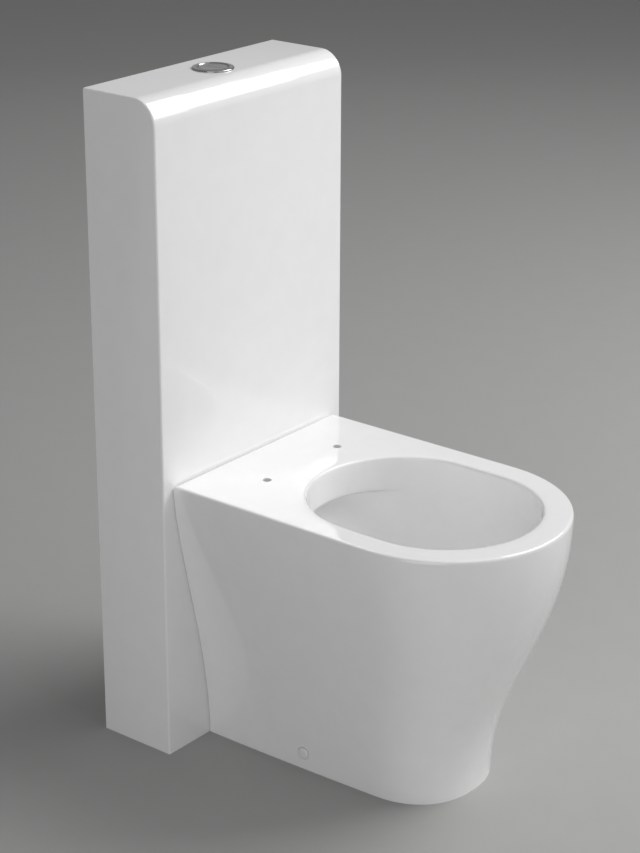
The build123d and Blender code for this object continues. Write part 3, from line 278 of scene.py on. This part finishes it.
def start(name):
    """Names the primitive that was just added and opens it for editing."""
    piece = bpy.context.object
    piece.name = name
    bpy.ops.object.transform_apply(location=True, rotation=True, scale=True)
    bpy.ops.object.mode_set(mode="EDIT")
    return piece


def pick(piece, test, kind="verts"):
    """Selects the vertices, edges or faces whose middle passes the test, and nothing else."""
    bpy.ops.mesh.select_mode(type={"verts": "VERT", "edges": "EDGE", "faces": "FACE"}[kind])
    bpy.ops.mesh.select_all(action="DESELECT")
    mesh = bmesh.from_edit_mesh(piece.data)
    for part in getattr(mesh, kind):
        if kind == "verts":
            part.select = test(part.co)
        elif kind == "edges":
            part.select = test((part.verts[0].co + part.verts[1].co) / 2, part)
        else:
            part.select = test(part.calc_center_median(), part.normal)
    mesh.select_flush_mode()
    bmesh.update_edit_mesh(piece.data)


def apply_modifier(piece, kind, **settings):
    """Adds a modifier, sets it and applies it."""
    bpy.context.view_layer.objects.active = piece
    piece.select_set(True)
    modifier = piece.modifiers.new(kind.lower(), kind)
    for name, value in settings.items():
        setattr(modifier, name, value)
    bpy.ops.object.modifier_apply(modifier=modifier.name)


def cut_away(piece, tool):
    """Cuts one closed form out of a piece and removes the cutter."""
    clear_selection()
    apply_modifier(piece, "BOOLEAN", operation="DIFFERENCE", object=tool, solver="EXACT")
    bpy.data.objects.remove(tool)


def join(piece, *others):
    """Makes several meshes one piece."""
    clear_selection()
    for other in (*others, piece):
        other.select_set(True)
    bpy.context.view_layer.objects.active = piece
    bpy.ops.object.join()


def hand_over(piece, material, body, *replaced, angle=SHARP, slot=None):
    """Shades the finished piece, gives it its material and puts it in the CAD nodes' place."""
    clear_selection()
    piece.select_set(True)
    bpy.context.view_layer.objects.active = piece
    bpy.ops.object.shade_smooth_by_angle(angle=angle)
    piece.data.materials.clear()
    piece.data.materials.append(material)
    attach(piece, body)
    if replaced:
        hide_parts(*replaced)
    print(piece.name, "has", len(piece.data.polygons), "faces and rides on", body)


# %% [markdown]
# ## The pan
# The pan is one hollow casting: a skirt that swells from a narrow foot to the rim, a flat rim and
# deck, and the bowl. A boolean of solids would give the shape, but its shading breaks wherever two
# surfaces meet. Here it is one skin instead, drawn ring by ring like a potter's coil and rounded by
# a subdivision surface, so that the glaze mirrors without a break.
#
# A plan that is wide at the rim and narrow at the foot can't be reached by scaling one ring, because
# the nose and the flanks change differently. So each extruded ring is laid on its own outline.

# %% The pan's sizes
MM = 0.001
pan_low, pan_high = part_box("pan")
casing_low, casing_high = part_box("cistern_casing")
PAN_TOP = pan_high.z
JOINT = 1 * MM
PAN_BACK = casing_low.y - JOINT
NOSE = pan_low.y
PAN_HALF = (pan_high.x - pan_low.x) / 2
FOOT_HALF = 111 * MM
FOOT_SETBACK = 111 * MM
FOOT_TAPER = 0.945
FOOT_NOSE_DEPTH = 107.5 * MM
FOOT_NOSE_POWER = 2.3
SIDE_PULLS = (145 * MM, 90 * MM)
NOSE_PULLS = (163 * MM, 187 * MM)


def s_curve(rise, height, pulls):
    """Share of the way across, at a rise, of a cubic curve whose two ends are upright."""
    low, high = 0.0, 1.0
    for _ in range(40):
        t = (low + high) / 2
        reach = 3 * t * (1 - t) ** 2 * pulls[0] + 3 * t * t * (1 - t) * (height - pulls[1])
        if reach + t**3 * height < rise:
            low = t
        else:
            high = t
    return 3 * t * t * (1 - t) + t**3


def nose_at(z):
    """The pan's front, and where its flanks end and the nose begins, at height z."""
    front = NOSE + FOOT_SETBACK * (1 - s_curve(z, PAN_TOP, NOSE_PULLS))
    return front, front + FOOT_NOSE_DEPTH + (PAN_HALF - FOOT_NOSE_DEPTH) * z / PAN_TOP


def flank_at(z, y):
    """Half the pan's width at height z and place y."""
    swell = s_curve(z, PAN_TOP, SIDE_PULLS)
    taper = (1 - FOOT_TAPER) * (1 - z / PAN_TOP)
    share = (PAN_BACK - y) / (PAN_BACK - nose_at(z)[1])
    return (FOOT_HALF + (PAN_HALF - FOOT_HALF) * swell) * (1 - taper * share**2)


# %% The outline of one ring of the skirt
BACK_STATIONS = (0, 0.3, 0.62, 0.86, 0.993)
FLANK_STATIONS = (0, 0.004, 0.08, 0.2, 0.34, 0.48, 0.62, 0.76, 0.9)
NOSE_STEPS = 14


def skirt_outline(z, inset=0.0):
    """The right half of the skirt's plan, from the back's middle round to the nose."""
    front, begin = nose_at(z)
    power = FOOT_NOSE_POWER + (2 - FOOT_NOSE_POWER) * z / PAN_TOP
    points = [((flank_at(z, PAN_BACK) - inset) * share, PAN_BACK - inset) for share in BACK_STATIONS]
    for share in FLANK_STATIONS:
        y = PAN_BACK - inset + (begin - PAN_BACK + inset) * share
        points.append((flank_at(z, min(y, PAN_BACK)) - inset, y))
    half = flank_at(z, begin) - inset
    for step in range(NOSE_STEPS + 1):
        turn = pi / 2 * step / NOSE_STEPS
        x = half * cos(turn) ** (2 / power) if step < NOSE_STEPS else 0.0
        points.append((x, begin - (begin - front - inset) * sin(turn) ** (2 / power)))
    return points


def full_ring(half):
    """Both halves of an outline, in order, with the two middle points once."""
    return half + [(-x, y) for x, y in reversed(half[1:-1])]


RING = len(full_ring(skirt_outline(0)))
print("points in one ring:", RING)

# %% [markdown]
# ### Rings
# A ring is a circle with as many points as the outline. It is extruded upwards by the operator, and
# the new points are then laid on the outline at their height. The order of the points stays the
# same from ring to ring, which keeps the quads straight.

# %% Laying rings
def lay_ring(piece, outline, z):
    """Puts the selected ring of points on an outline at height z."""
    mesh = bmesh.from_edit_mesh(piece.data)
    chosen = sorted((v for v in mesh.verts if v.select), key=lambda v: v[mesh.verts.layers.int["order"]])
    for vertex, (x, y) in zip(chosen, outline):
        vertex.co = (x, y, z)
    bmesh.update_edit_mesh(piece.data)


def next_ring(piece, outline, z):
    """Extrudes the selected ring and lays the new one on its outline."""
    bpy.ops.mesh.extrude_edges_move()
    lay_ring(piece, outline, z)


def number_points(piece):
    """Keeps each point's place in the ring, which an extrusion copies to the new point."""
    mesh = bmesh.from_edit_mesh(piece.data)
    order = mesh.verts.layers.int.new("order")
    mesh.verts.ensure_lookup_table()
    for vertex in mesh.verts:
        vertex[order] = vertex.index
    bmesh.update_edit_mesh(piece.data)


SKIRT_HEIGHTS = [0, 2, 30, 65, 100, 135, 170, 205, 240, 275, 310, 345, 375, 400, 412]
RIM_EDGE = [(416, 0), (418.9, 1.1), (420, 4), (420, 7)]
clear_selection()
bpy.ops.mesh.primitive_circle_add(vertices=RING, radius=PAN_HALF)
pan = start("ceramic_pan")
number_points(pan)
bpy.ops.mesh.select_all(action="SELECT")
lay_ring(pan, full_ring(skirt_outline(0)), 0)
for height in SKIRT_HEIGHTS[1:]:
    next_ring(pan, full_ring(skirt_outline(height * MM)), height * MM)
for height, inset in RIM_EDGE:
    next_ring(pan, full_ring(skirt_outline(height * MM, inset * MM)), height * MM)
print("rings in the skirt:", len(SKIRT_HEIGHTS) + len(RIM_EDGE))

# %% [markdown]
# ### Bowl
# The mouth is two half circles and the straights between them. Below it the wall drops straight
# for 52 mm, then curves in to the sump. At the back the straight part is an apron: below its edge
# the wall steps back, where the flush water comes out, and it runs into the side walls again. The
# step is deepest in the middle and fades out to the sides.

# %% The bowl's sizes and outline
RIM_WIDTH = 42 * MM
OPENING_RADIUS = PAN_HALF - RIM_WIDTH
OPENING_LENGTH = 338 * MM
FRONT_ARC = NOSE + PAN_HALF
REAR_ARC = NOSE + RIM_WIDTH + OPENING_LENGTH - OPENING_RADIUS
WALL_Z = PAN_TOP - 52 * MM
SUMP_Z = 95 * MM
SUMP_Y = NOSE + 255 * MM
SUMP_RADIUS = 40 * MM
SUMP_SPREAD = 3 * MM
BOWL_PULLS = (70 * MM, 138 * MM)
STEP_SPAN = radians(52)


def bowl_outline(z, grow=0.0, step=0.0):
    """The right half of the bowl's plan at height z, with the rear wall set back by a step."""
    rise = min(max(z - SUMP_Z, 0), WALL_Z - SUMP_Z)
    share = s_curve(rise, WALL_Z - SUMP_Z, BOWL_PULLS)
    radius = SUMP_RADIUS + (OPENING_RADIUS - SUMP_RADIUS) * share + grow
    front = SUMP_Y - SUMP_SPREAD + (FRONT_ARC - SUMP_Y + SUMP_SPREAD) * share
    rear = SUMP_Y + SUMP_SPREAD + (REAR_ARC - SUMP_Y - SUMP_SPREAD) * share
    half = RING // 2
    points = []
    for k in range(half + 1):
        turn = pi * k / half
        fade = max(0.0, cos(min(turn / STEP_SPAN, 1) * pi / 2)) ** 1.5
        reach = radius + step * fade
        middle = rear if turn < pi / 2 else front
        if abs(turn - pi / 2) < 0.01:
            middle = (rear + front) / 2
        points.append((reach * sin(turn) if 0 < k < half else 0.0, middle + reach * cos(turn)))
    return points


# %% [markdown]
# ### Joining the rim to the bowl
# The rim and the deck are flat, so one bridge from the last ring of the skirt to the first ring of
# the mouth is enough. The mouth's edge is rounded by three close rings, as the skirt's is.

# %% Bowl rings
MOUTH_RINGS = [(420, 4.5), (418.7, 1.3), (415.5, 0)]
WALL_RINGS = [(400, 0, 0), (376, 0, 0), (371, 0, 0), (368, 0.2, 2.5), (366.6, 0.2, 9), (365.5, 0.2, 17),
              (360, 0.2, 23), (345, 0, 24), (325, 0, 20), (300, 0, 12), (272, 0, 4), (240, 0, 0),
              (205, 0, 0), (170, 0, 0), (135, 0, 0), (108, 0, 0)]
SUMP_RINGS = [(88, 0), (72, -5), (62, -14), (58, -26)]
first = MOUTH_RINGS[0]
next_ring(pan, full_ring(bowl_outline(first[0] * MM, first[1] * MM)), first[0] * MM)
for height, grow in MOUTH_RINGS[1:]:
    next_ring(pan, full_ring(bowl_outline(height * MM, grow * MM)), height * MM)
for height, grow, step in WALL_RINGS:
    next_ring(pan, full_ring(bowl_outline(height * MM, grow * MM, step * MM)), height * MM)
for height, grow in SUMP_RINGS:
    next_ring(pan, full_ring(bowl_outline(height * MM, grow * MM)), height * MM)
bpy.ops.mesh.edge_face_add()
bpy.ops.mesh.poke()
print("faces in the cage:", len(bmesh.from_edit_mesh(pan.data).faces))

# %% [markdown]
# ### Trap
# The water leaves through the sump's rear wall. The faces there are extruded backwards twice, a
# short step that the subdivision surface turns into a round lip, and then the way out.

# %% Trap entry
TRAP_HALF = 24 * MM
TRAP_LOW = 66 * MM
TRAP_HIGH = 122 * MM
TRAP_FRONT = SUMP_Y + 20 * MM
TRAP_LIP = (0, 6 * MM, 1 * MM)
TRAP_WAY = (0, 42 * MM, 12 * MM)


def on_trap(middle, normal):
    """True for the sump's rear faces."""
    return TRAP_LOW < middle.z < TRAP_HIGH and middle.y > TRAP_FRONT and abs(middle.x) < TRAP_HALF


pick(pan, on_trap, "faces")
for step in (TRAP_LIP, TRAP_WAY):
    bpy.ops.mesh.extrude_region_move(TRANSFORM_OT_translate={"value": step})
bpy.ops.mesh.select_all(action="SELECT")
bpy.ops.mesh.normals_make_consistent(inside=False)
bpy.ops.object.mode_set(mode="OBJECT")

# %% [markdown]
# ### Skin and wall
# A subdivision surface rounds the cage. The casting's wall of 10 mm comes from Solidify, towards
# the clay side, once the skin is smooth: a wall given earlier would be rounded along with it.

# %% Skin
clear_selection()
apply_modifier(pan, "SUBSURF", levels=2, render_levels=2)
top_face = max(pan.data.polygons, key=lambda face: face.center.z)
print("skin's top looks", "up" if top_face.normal.z > 0 else "down", len(pan.data.polygons), "faces")

# %% Wall
WALL = 10 * MM
clear_selection()
apply_modifier(pan, "SOLIDIFY", thickness=WALL, offset=-1, use_even_offset=False)
print("faces with the clay side:", len(pan.data.polygons))

# %% [markdown]
# ### Seat and fixing holes
# The seat's hinge bolts pass through two glazed holes in the deck, and a short screw on each side
# passes through the skirt into its floor bracket. Each hole is cut with a cylinder primitive, the
# skirt's as wide as the cap that sits in it.

# %% Holes
SEAT_HOLE_RADIUS = 6.5 * MM
SEAT_HOLE_X = 80 * MM
SEAT_HOLE_Y = PAN_BACK - 87.3 * MM
HOLE_SIDES = 48
DRILL_LENGTH = 60 * MM
CAP_SEAT_DEPTH = 20 * MM
CAP_HEIGHT = 4.3 * MM


def drill(piece, radius, length, place, turn=(0, 0, 0)):
    """Cuts one round hole, with a cylinder as the drill."""
    clear_selection()
    bpy.ops.mesh.primitive_cylinder_add(vertices=HOLE_SIDES, radius=radius, depth=length,
                                        location=place, rotation=turn)
    cut_away(piece, bpy.context.object)


cap_low, cap_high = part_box("fixing_cap_right")
CAP_MIDDLE = (cap_low + cap_high) / 2
CAP_RADIUS = (cap_high.z - cap_low.z) / 2
CAP_FACE = cap_high.x - CAP_HEIGHT
CAP_GAP = 0.5 * MM
for side in (-1, 1):
    drill(pan, SEAT_HOLE_RADIUS, DRILL_LENGTH, (side * SEAT_HOLE_X, SEAT_HOLE_Y, PAN_TOP))
    place = (side * (CAP_FACE + CAP_SEAT_DEPTH / 2), CAP_MIDDLE.y, CAP_MIDDLE.z)
    drill(pan, CAP_RADIUS + CAP_GAP, CAP_SEAT_DEPTH, place, (0, pi / 2, 0))
print("holes drilled in the pan, now", len(pan.data.polygons), "faces")

# %% [markdown]
# ### Spigot, trap and inlet
# Behind, where the casing's opening shows the pan's inside, the trap climbs from the sump and falls
# to a round spigot for the waste, and a short collar takes the flush pipe. They are plain turned
# forms, so a cylinder with its end inset and pushed in, and a bevelled curve for the bend, are enough.

# %% Spigot and inlet collar
SPIGOT_RADIUS = 51 * MM
SPIGOT_LENGTH = 56 * MM
SPIGOT_WALL = 9 * MM
WASTE_Z = 180 * MM
INLET_Z = 350 * MM
INLET_RADIUS = 27.5 * MM
INLET_WALL = 8 * MM
ROUND_EDGE = 1.5 * MM


def collar(name, radius, wall, front, back, z):
    """An open ended tube along Y with a rounded lip at its back."""
    clear_selection()
    bpy.ops.mesh.primitive_cylinder_add(vertices=64, radius=radius, depth=back - front,
                                        location=(0, (front + back) / 2, z), rotation=(pi / 2, 0, 0))
    piece = start(name)
    pick(piece, lambda middle, normal: normal.y > 0.9, "faces")
    bpy.ops.mesh.inset(thickness=wall)
    bpy.ops.mesh.extrude_region_move(TRANSFORM_OT_translate={"value": (0, front - back + wall, 0)})
    pick(piece, lambda middle, edge: abs(middle.y - back) < 1e-5, "edges")
    bpy.ops.mesh.bevel(offset=ROUND_EDGE, segments=3, affect="EDGES")
    bpy.ops.object.mode_set(mode="OBJECT")
    return piece


spigot = collar("spigot", SPIGOT_RADIUS, SPIGOT_WALL, PAN_BACK - SPIGOT_LENGTH, PAN_BACK, WASTE_Z)
inlet_front = REAR_ARC + OPENING_RADIUS + 38 * MM
inlet = collar("inlet", INLET_RADIUS + INLET_WALL, INLET_WALL, inlet_front, PAN_BACK, INLET_Z)

# %% Trap bend
TRAP_RADIUS = 36 * MM
TRAP_POINTS = [(SUMP_Y + 30 * MM, 90 * MM), (SUMP_Y + 70 * MM, 92 * MM), (SUMP_Y + 104 * MM, 186 * MM),
               (SUMP_Y + 150 * MM, 196 * MM), (PAN_BACK - SPIGOT_LENGTH + 8 * MM, WASTE_Z)]
clear_selection()
bpy.ops.curve.primitive_nurbs_path_add()
trap = bpy.context.object
line = trap.data.splines[0]
for point, (y, z) in zip(line.points, TRAP_POINTS):
    point.co = (0, y, z, 1)
line.order_u = 4
trap.data.bevel_depth = TRAP_RADIUS
trap.data.bevel_resolution = 10
trap.data.use_fill_caps = True
bpy.ops.object.convert(target="MESH")
join(pan, spigot, inlet, trap)
hand_over(pan, vitreous_china, "toilet", "pan", "pan_bowl", "pan_trap", slot="glazed_ceramic")

# %% [markdown]
# ## The cistern casing
# A tall ceramic cover, open behind and below, whose front runs over into the top in one large
# round. It begins as a cube: the front top edge gets that round, the other visible edges the small
# one a glaze leaves, and the back and bottom faces are taken out before the wall gets its thickness.

# %% Casing
CASING_WALL = 11 * MM
TOP_ROUND = 36 * MM
EDGE_ROUND = 3 * MM
casing_size = casing_high - casing_low
casing_middle = (casing_low + casing_high) / 2
clear_selection()
bpy.ops.mesh.primitive_cube_add(size=1, location=casing_middle, scale=casing_size)
casing = start("ceramic_casing")


def is_top_front(middle, edge):
    """True for the edge where the front meets the top."""
    return middle.z > casing_high.z - 1e-4 and middle.y < casing_low.y + 1e-4


def is_flank_edge(middle, edge):
    """True for the outer edges round both flanks, but not those of the back and the foot."""
    on_flank = all(abs(v.co.x) > casing_high.x - 1e-4 for v in edge.verts)
    at_back = all(v.co.y > casing_high.y - 1e-4 for v in edge.verts)
    at_foot = all(v.co.z < 1e-4 for v in edge.verts)
    return on_flank and not at_back and not at_foot


pick(casing, is_top_front, "edges")
bpy.ops.mesh.bevel(offset=TOP_ROUND, segments=24, affect="EDGES")
pick(casing, lambda middle, normal: normal.y > 0.9 or normal.z < -0.9, "faces")
bpy.ops.mesh.delete(type="FACE")
bpy.ops.object.mode_set(mode="OBJECT")
apply_modifier(casing, "SOLIDIFY", thickness=CASING_WALL, offset=-1, use_even_offset=True)
bpy.ops.object.mode_set(mode="EDIT")
pick(casing, is_flank_edge, "edges")
bpy.ops.mesh.bevel(offset=EDGE_ROUND, segments=5, affect="EDGES")
bpy.ops.object.mode_set(mode="OBJECT")
print("casing faces:", len(casing.data.polygons))

# %% [markdown]
# ### Ledges, wall tabs and holes
# Inside, the casing carries two ledges for the tank and two tabs for the wall bolts. Two holes go
# through it: a round one for the button, and behind the pan a tall one with round corners.

# %% Ledges and tabs
tank_low, tank_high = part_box("inner_tank")
clip_low, clip_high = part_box("tank_clip_right")
INNER_X = casing_high.x - CASING_WALL
INNER_Y = casing_low.y + CASING_WALL
SINK = 2 * MM
LEDGE_DEPTH = 12 * MM
TAB_HALF = 20 * MM
CAST_ROUND = 2.5 * MM
PAD = 4 * MM
WALL_HOLE_RADIUS = 5 * MM
WALL_HOLE_X = casing_high.x - 32 * MM
WALL_HOLE_Z = (clip_low.z + clip_high.z) / 2


def cast_block(name, low, high):
    """A block of cast clay with every edge rounded."""
    clear_selection()
    size = Vector(high) - Vector(low)
    bpy.ops.mesh.primitive_cube_add(size=1, location=(Vector(low) + Vector(high)) / 2, scale=size)
    piece = start(name)
    bpy.ops.mesh.select_all(action="SELECT")
    bpy.ops.mesh.bevel(offset=CAST_ROUND, segments=3, affect="EDGES")
    bpy.ops.object.mode_set(mode="OBJECT")
    return piece


blocks = []
for side in (-1, 1):
    x = sorted((side * (tank_high.x - 23 * MM), side * (INNER_X + SINK)))
    ledge = cast_block("ledge", (x[0], INNER_Y - SINK, tank_low.z - PAD - LEDGE_DEPTH),
                       (x[1], tank_high.y - 10 * MM, tank_low.z - PAD))
    x = sorted((side * (tank_high.x + 6.5 * MM), side * (INNER_X + SINK)))
    tab = cast_block("tab", (x[0], tank_high.y - 12 * MM, WALL_HOLE_Z - TAB_HALF),
                     (x[1], tank_high.y, WALL_HOLE_Z + TAB_HALF))
    drill(tab, WALL_HOLE_RADIUS, DRILL_LENGTH, (side * WALL_HOLE_X, tank_high.y, WALL_HOLE_Z), (pi / 2, 0, 0))
    blocks += [ledge, tab]

# %% Holes through the casing
bezel_low, bezel_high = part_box("button_bezel")
BUTTON_X = (bezel_low.x + bezel_high.x) / 2
BUTTON_Y = (bezel_low.y + bezel_high.y) / 2
BEZEL_RADIUS = (bezel_high.x - bezel_low.x) / 2
BEZEL_LAP = 4.8 * MM
BUTTON_HOLE_RADIUS = BEZEL_RADIUS - BEZEL_LAP
SERVICE_HALF = 78 * MM
SERVICE_LOW = 110 * MM
SERVICE_HIGH = PAN_TOP - 32 * MM
SERVICE_ROUND = 30 * MM
drill(casing, BUTTON_HOLE_RADIUS, DRILL_LENGTH, (BUTTON_X, BUTTON_Y, casing_high.z))
clear_selection()
service_middle = (0, casing_low.y, (SERVICE_LOW + SERVICE_HIGH) / 2)
service_size = (2 * SERVICE_HALF, DRILL_LENGTH, SERVICE_HIGH - SERVICE_LOW)
bpy.ops.mesh.primitive_cube_add(size=1, location=service_middle, scale=service_size)
opening = start("opening")
pick(opening, lambda middle, edge: abs(middle.y - casing_low.y) < 1e-5, "edges")
bpy.ops.mesh.bevel(offset=SERVICE_ROUND, segments=10, affect="EDGES")
bpy.ops.object.mode_set(mode="OBJECT")
cut_away(casing, opening)
join(casing, *blocks)
hand_over(casing, vitreous_china, "toilet", "cistern_casing", slot="glazed_ceramic")

# %% [markdown]
# ## Side caps
# Two domed plastic caps hide the skirt's screws. Each is a short cylinder whose outer face is
# inset twice and drawn out into a dome, with a small round where it meets the skirt.

# %% Side caps
CAP_DOME = cap_high.x - CAP_FACE


def side_cap(name, side):
    """One domed cap, looking out to its side."""
    clear_selection()
    bpy.ops.mesh.primitive_cylinder_add(vertices=48, radius=CAP_RADIUS, depth=2 * MM, rotation=(0, pi / 2, 0),
                                        location=(side * (CAP_FACE + MM), CAP_MIDDLE.y, CAP_MIDDLE.z))
    cap = start(name)
    pick(cap, lambda middle, normal: normal.x * side > 0.9, "faces")
    for share, rise in ((0.12, 0.42), (0.16, 0.3), (0.22, 0.2), (0.22, 0.08)):
        bpy.ops.mesh.inset(thickness=CAP_RADIUS * share)
        bpy.ops.transform.translate(value=(side * (CAP_DOME - 2 * MM) * rise, 0, 0))
    bpy.ops.object.mode_set(mode="OBJECT")
    apply_modifier(cap, "SUBSURF", levels=2, render_levels=2)
    return cap


for side, word in ((-1, "left"), (1, "right")):
    hand_over(side_cap("side_cap_" + word, side), cap_plastic, "toilet", "fixing_cap_" + word,
              slot="white_cap", angle=pi)

# %% [markdown]
# ## The flush button
# A round chromed bezel with a raised lip, and in it two buttons that share one disc, the full flush
# on the left being the larger. Turned forms like these are a cylinder whose top is inset again and
# again, each inset moved up or down to draw the profile, as a lathe tool would.

# %% Bezel
full_low, full_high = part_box("full_button")
half_low, half_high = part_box("half_button")
BUTTON_RADIUS = (full_high.y - full_low.y) / 2
BUTTON_PLAY = 0.5 * MM
TURNED_SIDES = 96
BEZEL_STEPS = [(0.3, 0.55), (0.5, 0.35), (0.9, 0.3), (1.4, 0.2), (1.6, 0.1), (0.8, 0.05), (0.4, -0.25),
               (0.5, -0.15), (0.4, 0.3), (0.4, 0.1), (0.3, -0.4), (0.3, -0.9)]


def turned(name, radius, low, high):
    """A cylinder on the button's axis, open for editing."""
    clear_selection()
    bpy.ops.mesh.primitive_cylinder_add(vertices=TURNED_SIDES, radius=radius, depth=high - low,
                                        location=(BUTTON_X, BUTTON_Y, (low + high) / 2))
    return start(name)


def draw_profile(piece, steps):
    """Insets the top by each step's width and lifts it by the step's height, in millimetres."""
    pick(piece, lambda middle, normal: normal.z > 0.9, "faces")
    for width, lift in steps:
        bpy.ops.mesh.inset(thickness=width * MM)
        bpy.ops.transform.translate(value=(0, 0, lift * MM))


bezel = turned("chrome_bezel", BEZEL_RADIUS, bezel_low.z, bezel_low.z + 0.6 * MM)
draw_profile(bezel, BEZEL_STEPS)
left_over = BEZEL_RADIUS - BUTTON_RADIUS - BUTTON_PLAY - sum(width for width, lift in BEZEL_STEPS) * MM
bpy.ops.mesh.inset(thickness=left_over)
pick(bezel, lambda middle, normal: normal.z < -0.9, "faces")
bpy.ops.mesh.inset(thickness=BEZEL_RADIUS - BUTTON_RADIUS - BUTTON_PLAY)
on_axis = Vector((BUTTON_X, BUTTON_Y, 0))
pick(bezel, lambda middle, normal: (middle - on_axis).xy.length < MM, "faces")
bpy.ops.mesh.bridge_edge_loops()
bpy.ops.object.mode_set(mode="OBJECT")
hand_over(bezel, chrome, "toilet", "button_bezel", slot="chromed_plastic", angle=radians(50))

# %% [markdown]
# The two buttons are one disc with a shallow dish, cut in two by a bisection plane that also closes
# the cut. A small bevel then breaks every sharp edge, so that a line of light runs beside the gap.

# %% Buttons
BUTTON_STEPS = [(0.35, 0.35), (0.5, 0.15), (0.9, 0), (2, -0.25), (4, -0.35), (6, -0.2)]
BUTTON_BEVEL = 0.15 * MM


def button(name, low, high, cut_x, side):
    """The part of the disc on one side of the cut."""
    piece = turned(name, BUTTON_RADIUS, low.z, high.z - 0.5 * MM)
    draw_profile(piece, BUTTON_STEPS)
    bpy.ops.mesh.select_all(action="SELECT")
    bpy.ops.mesh.bisect(plane_co=(cut_x, 0, 0), plane_no=(side, 0, 0), use_fill=True, clear_outer=True)
    bpy.ops.object.mode_set(mode="OBJECT")
    apply_modifier(piece, "BEVEL", width=BUTTON_BEVEL, segments=2, limit_method="ANGLE",
                   angle_limit=radians(60))
    return piece


hand_over(button("full_flush_button", full_low, full_high, full_high.x, 1), chrome, "full_button",
          "full_button", slot="chromed_plastic")
hand_over(button("half_flush_button", half_low, half_high, half_low.x, -1), chrome, "half_button",
          "half_button", slot="chromed_plastic")

# %% [markdown]
# ### Springs
# Each button stands on a coil spring, which gets shorter as the button goes down. A copy of the
# imported coil, with its loose triangles merged, takes its place.


def coil(name, node):
    """A copy of an imported coil, with its loose triangles merged."""
    clear_selection()
    piece = bpy.data.objects.new(name, nodes[node].data.copy())
    bpy.context.scene.collection.objects.link(piece)
    piece.select_set(True)
    bpy.context.view_layer.objects.active = piece
    bpy.ops.object.mode_set(mode="EDIT")
    bpy.ops.mesh.select_all(action="SELECT")
    bpy.ops.mesh.remove_doubles(threshold=1e-6)
    hand_over(piece, wire, "toilet", node, slot="stainless_steel")
    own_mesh(piece)


coil("full_flush_coil", "full_spring")
coil("half_flush_coil", "half_spring")
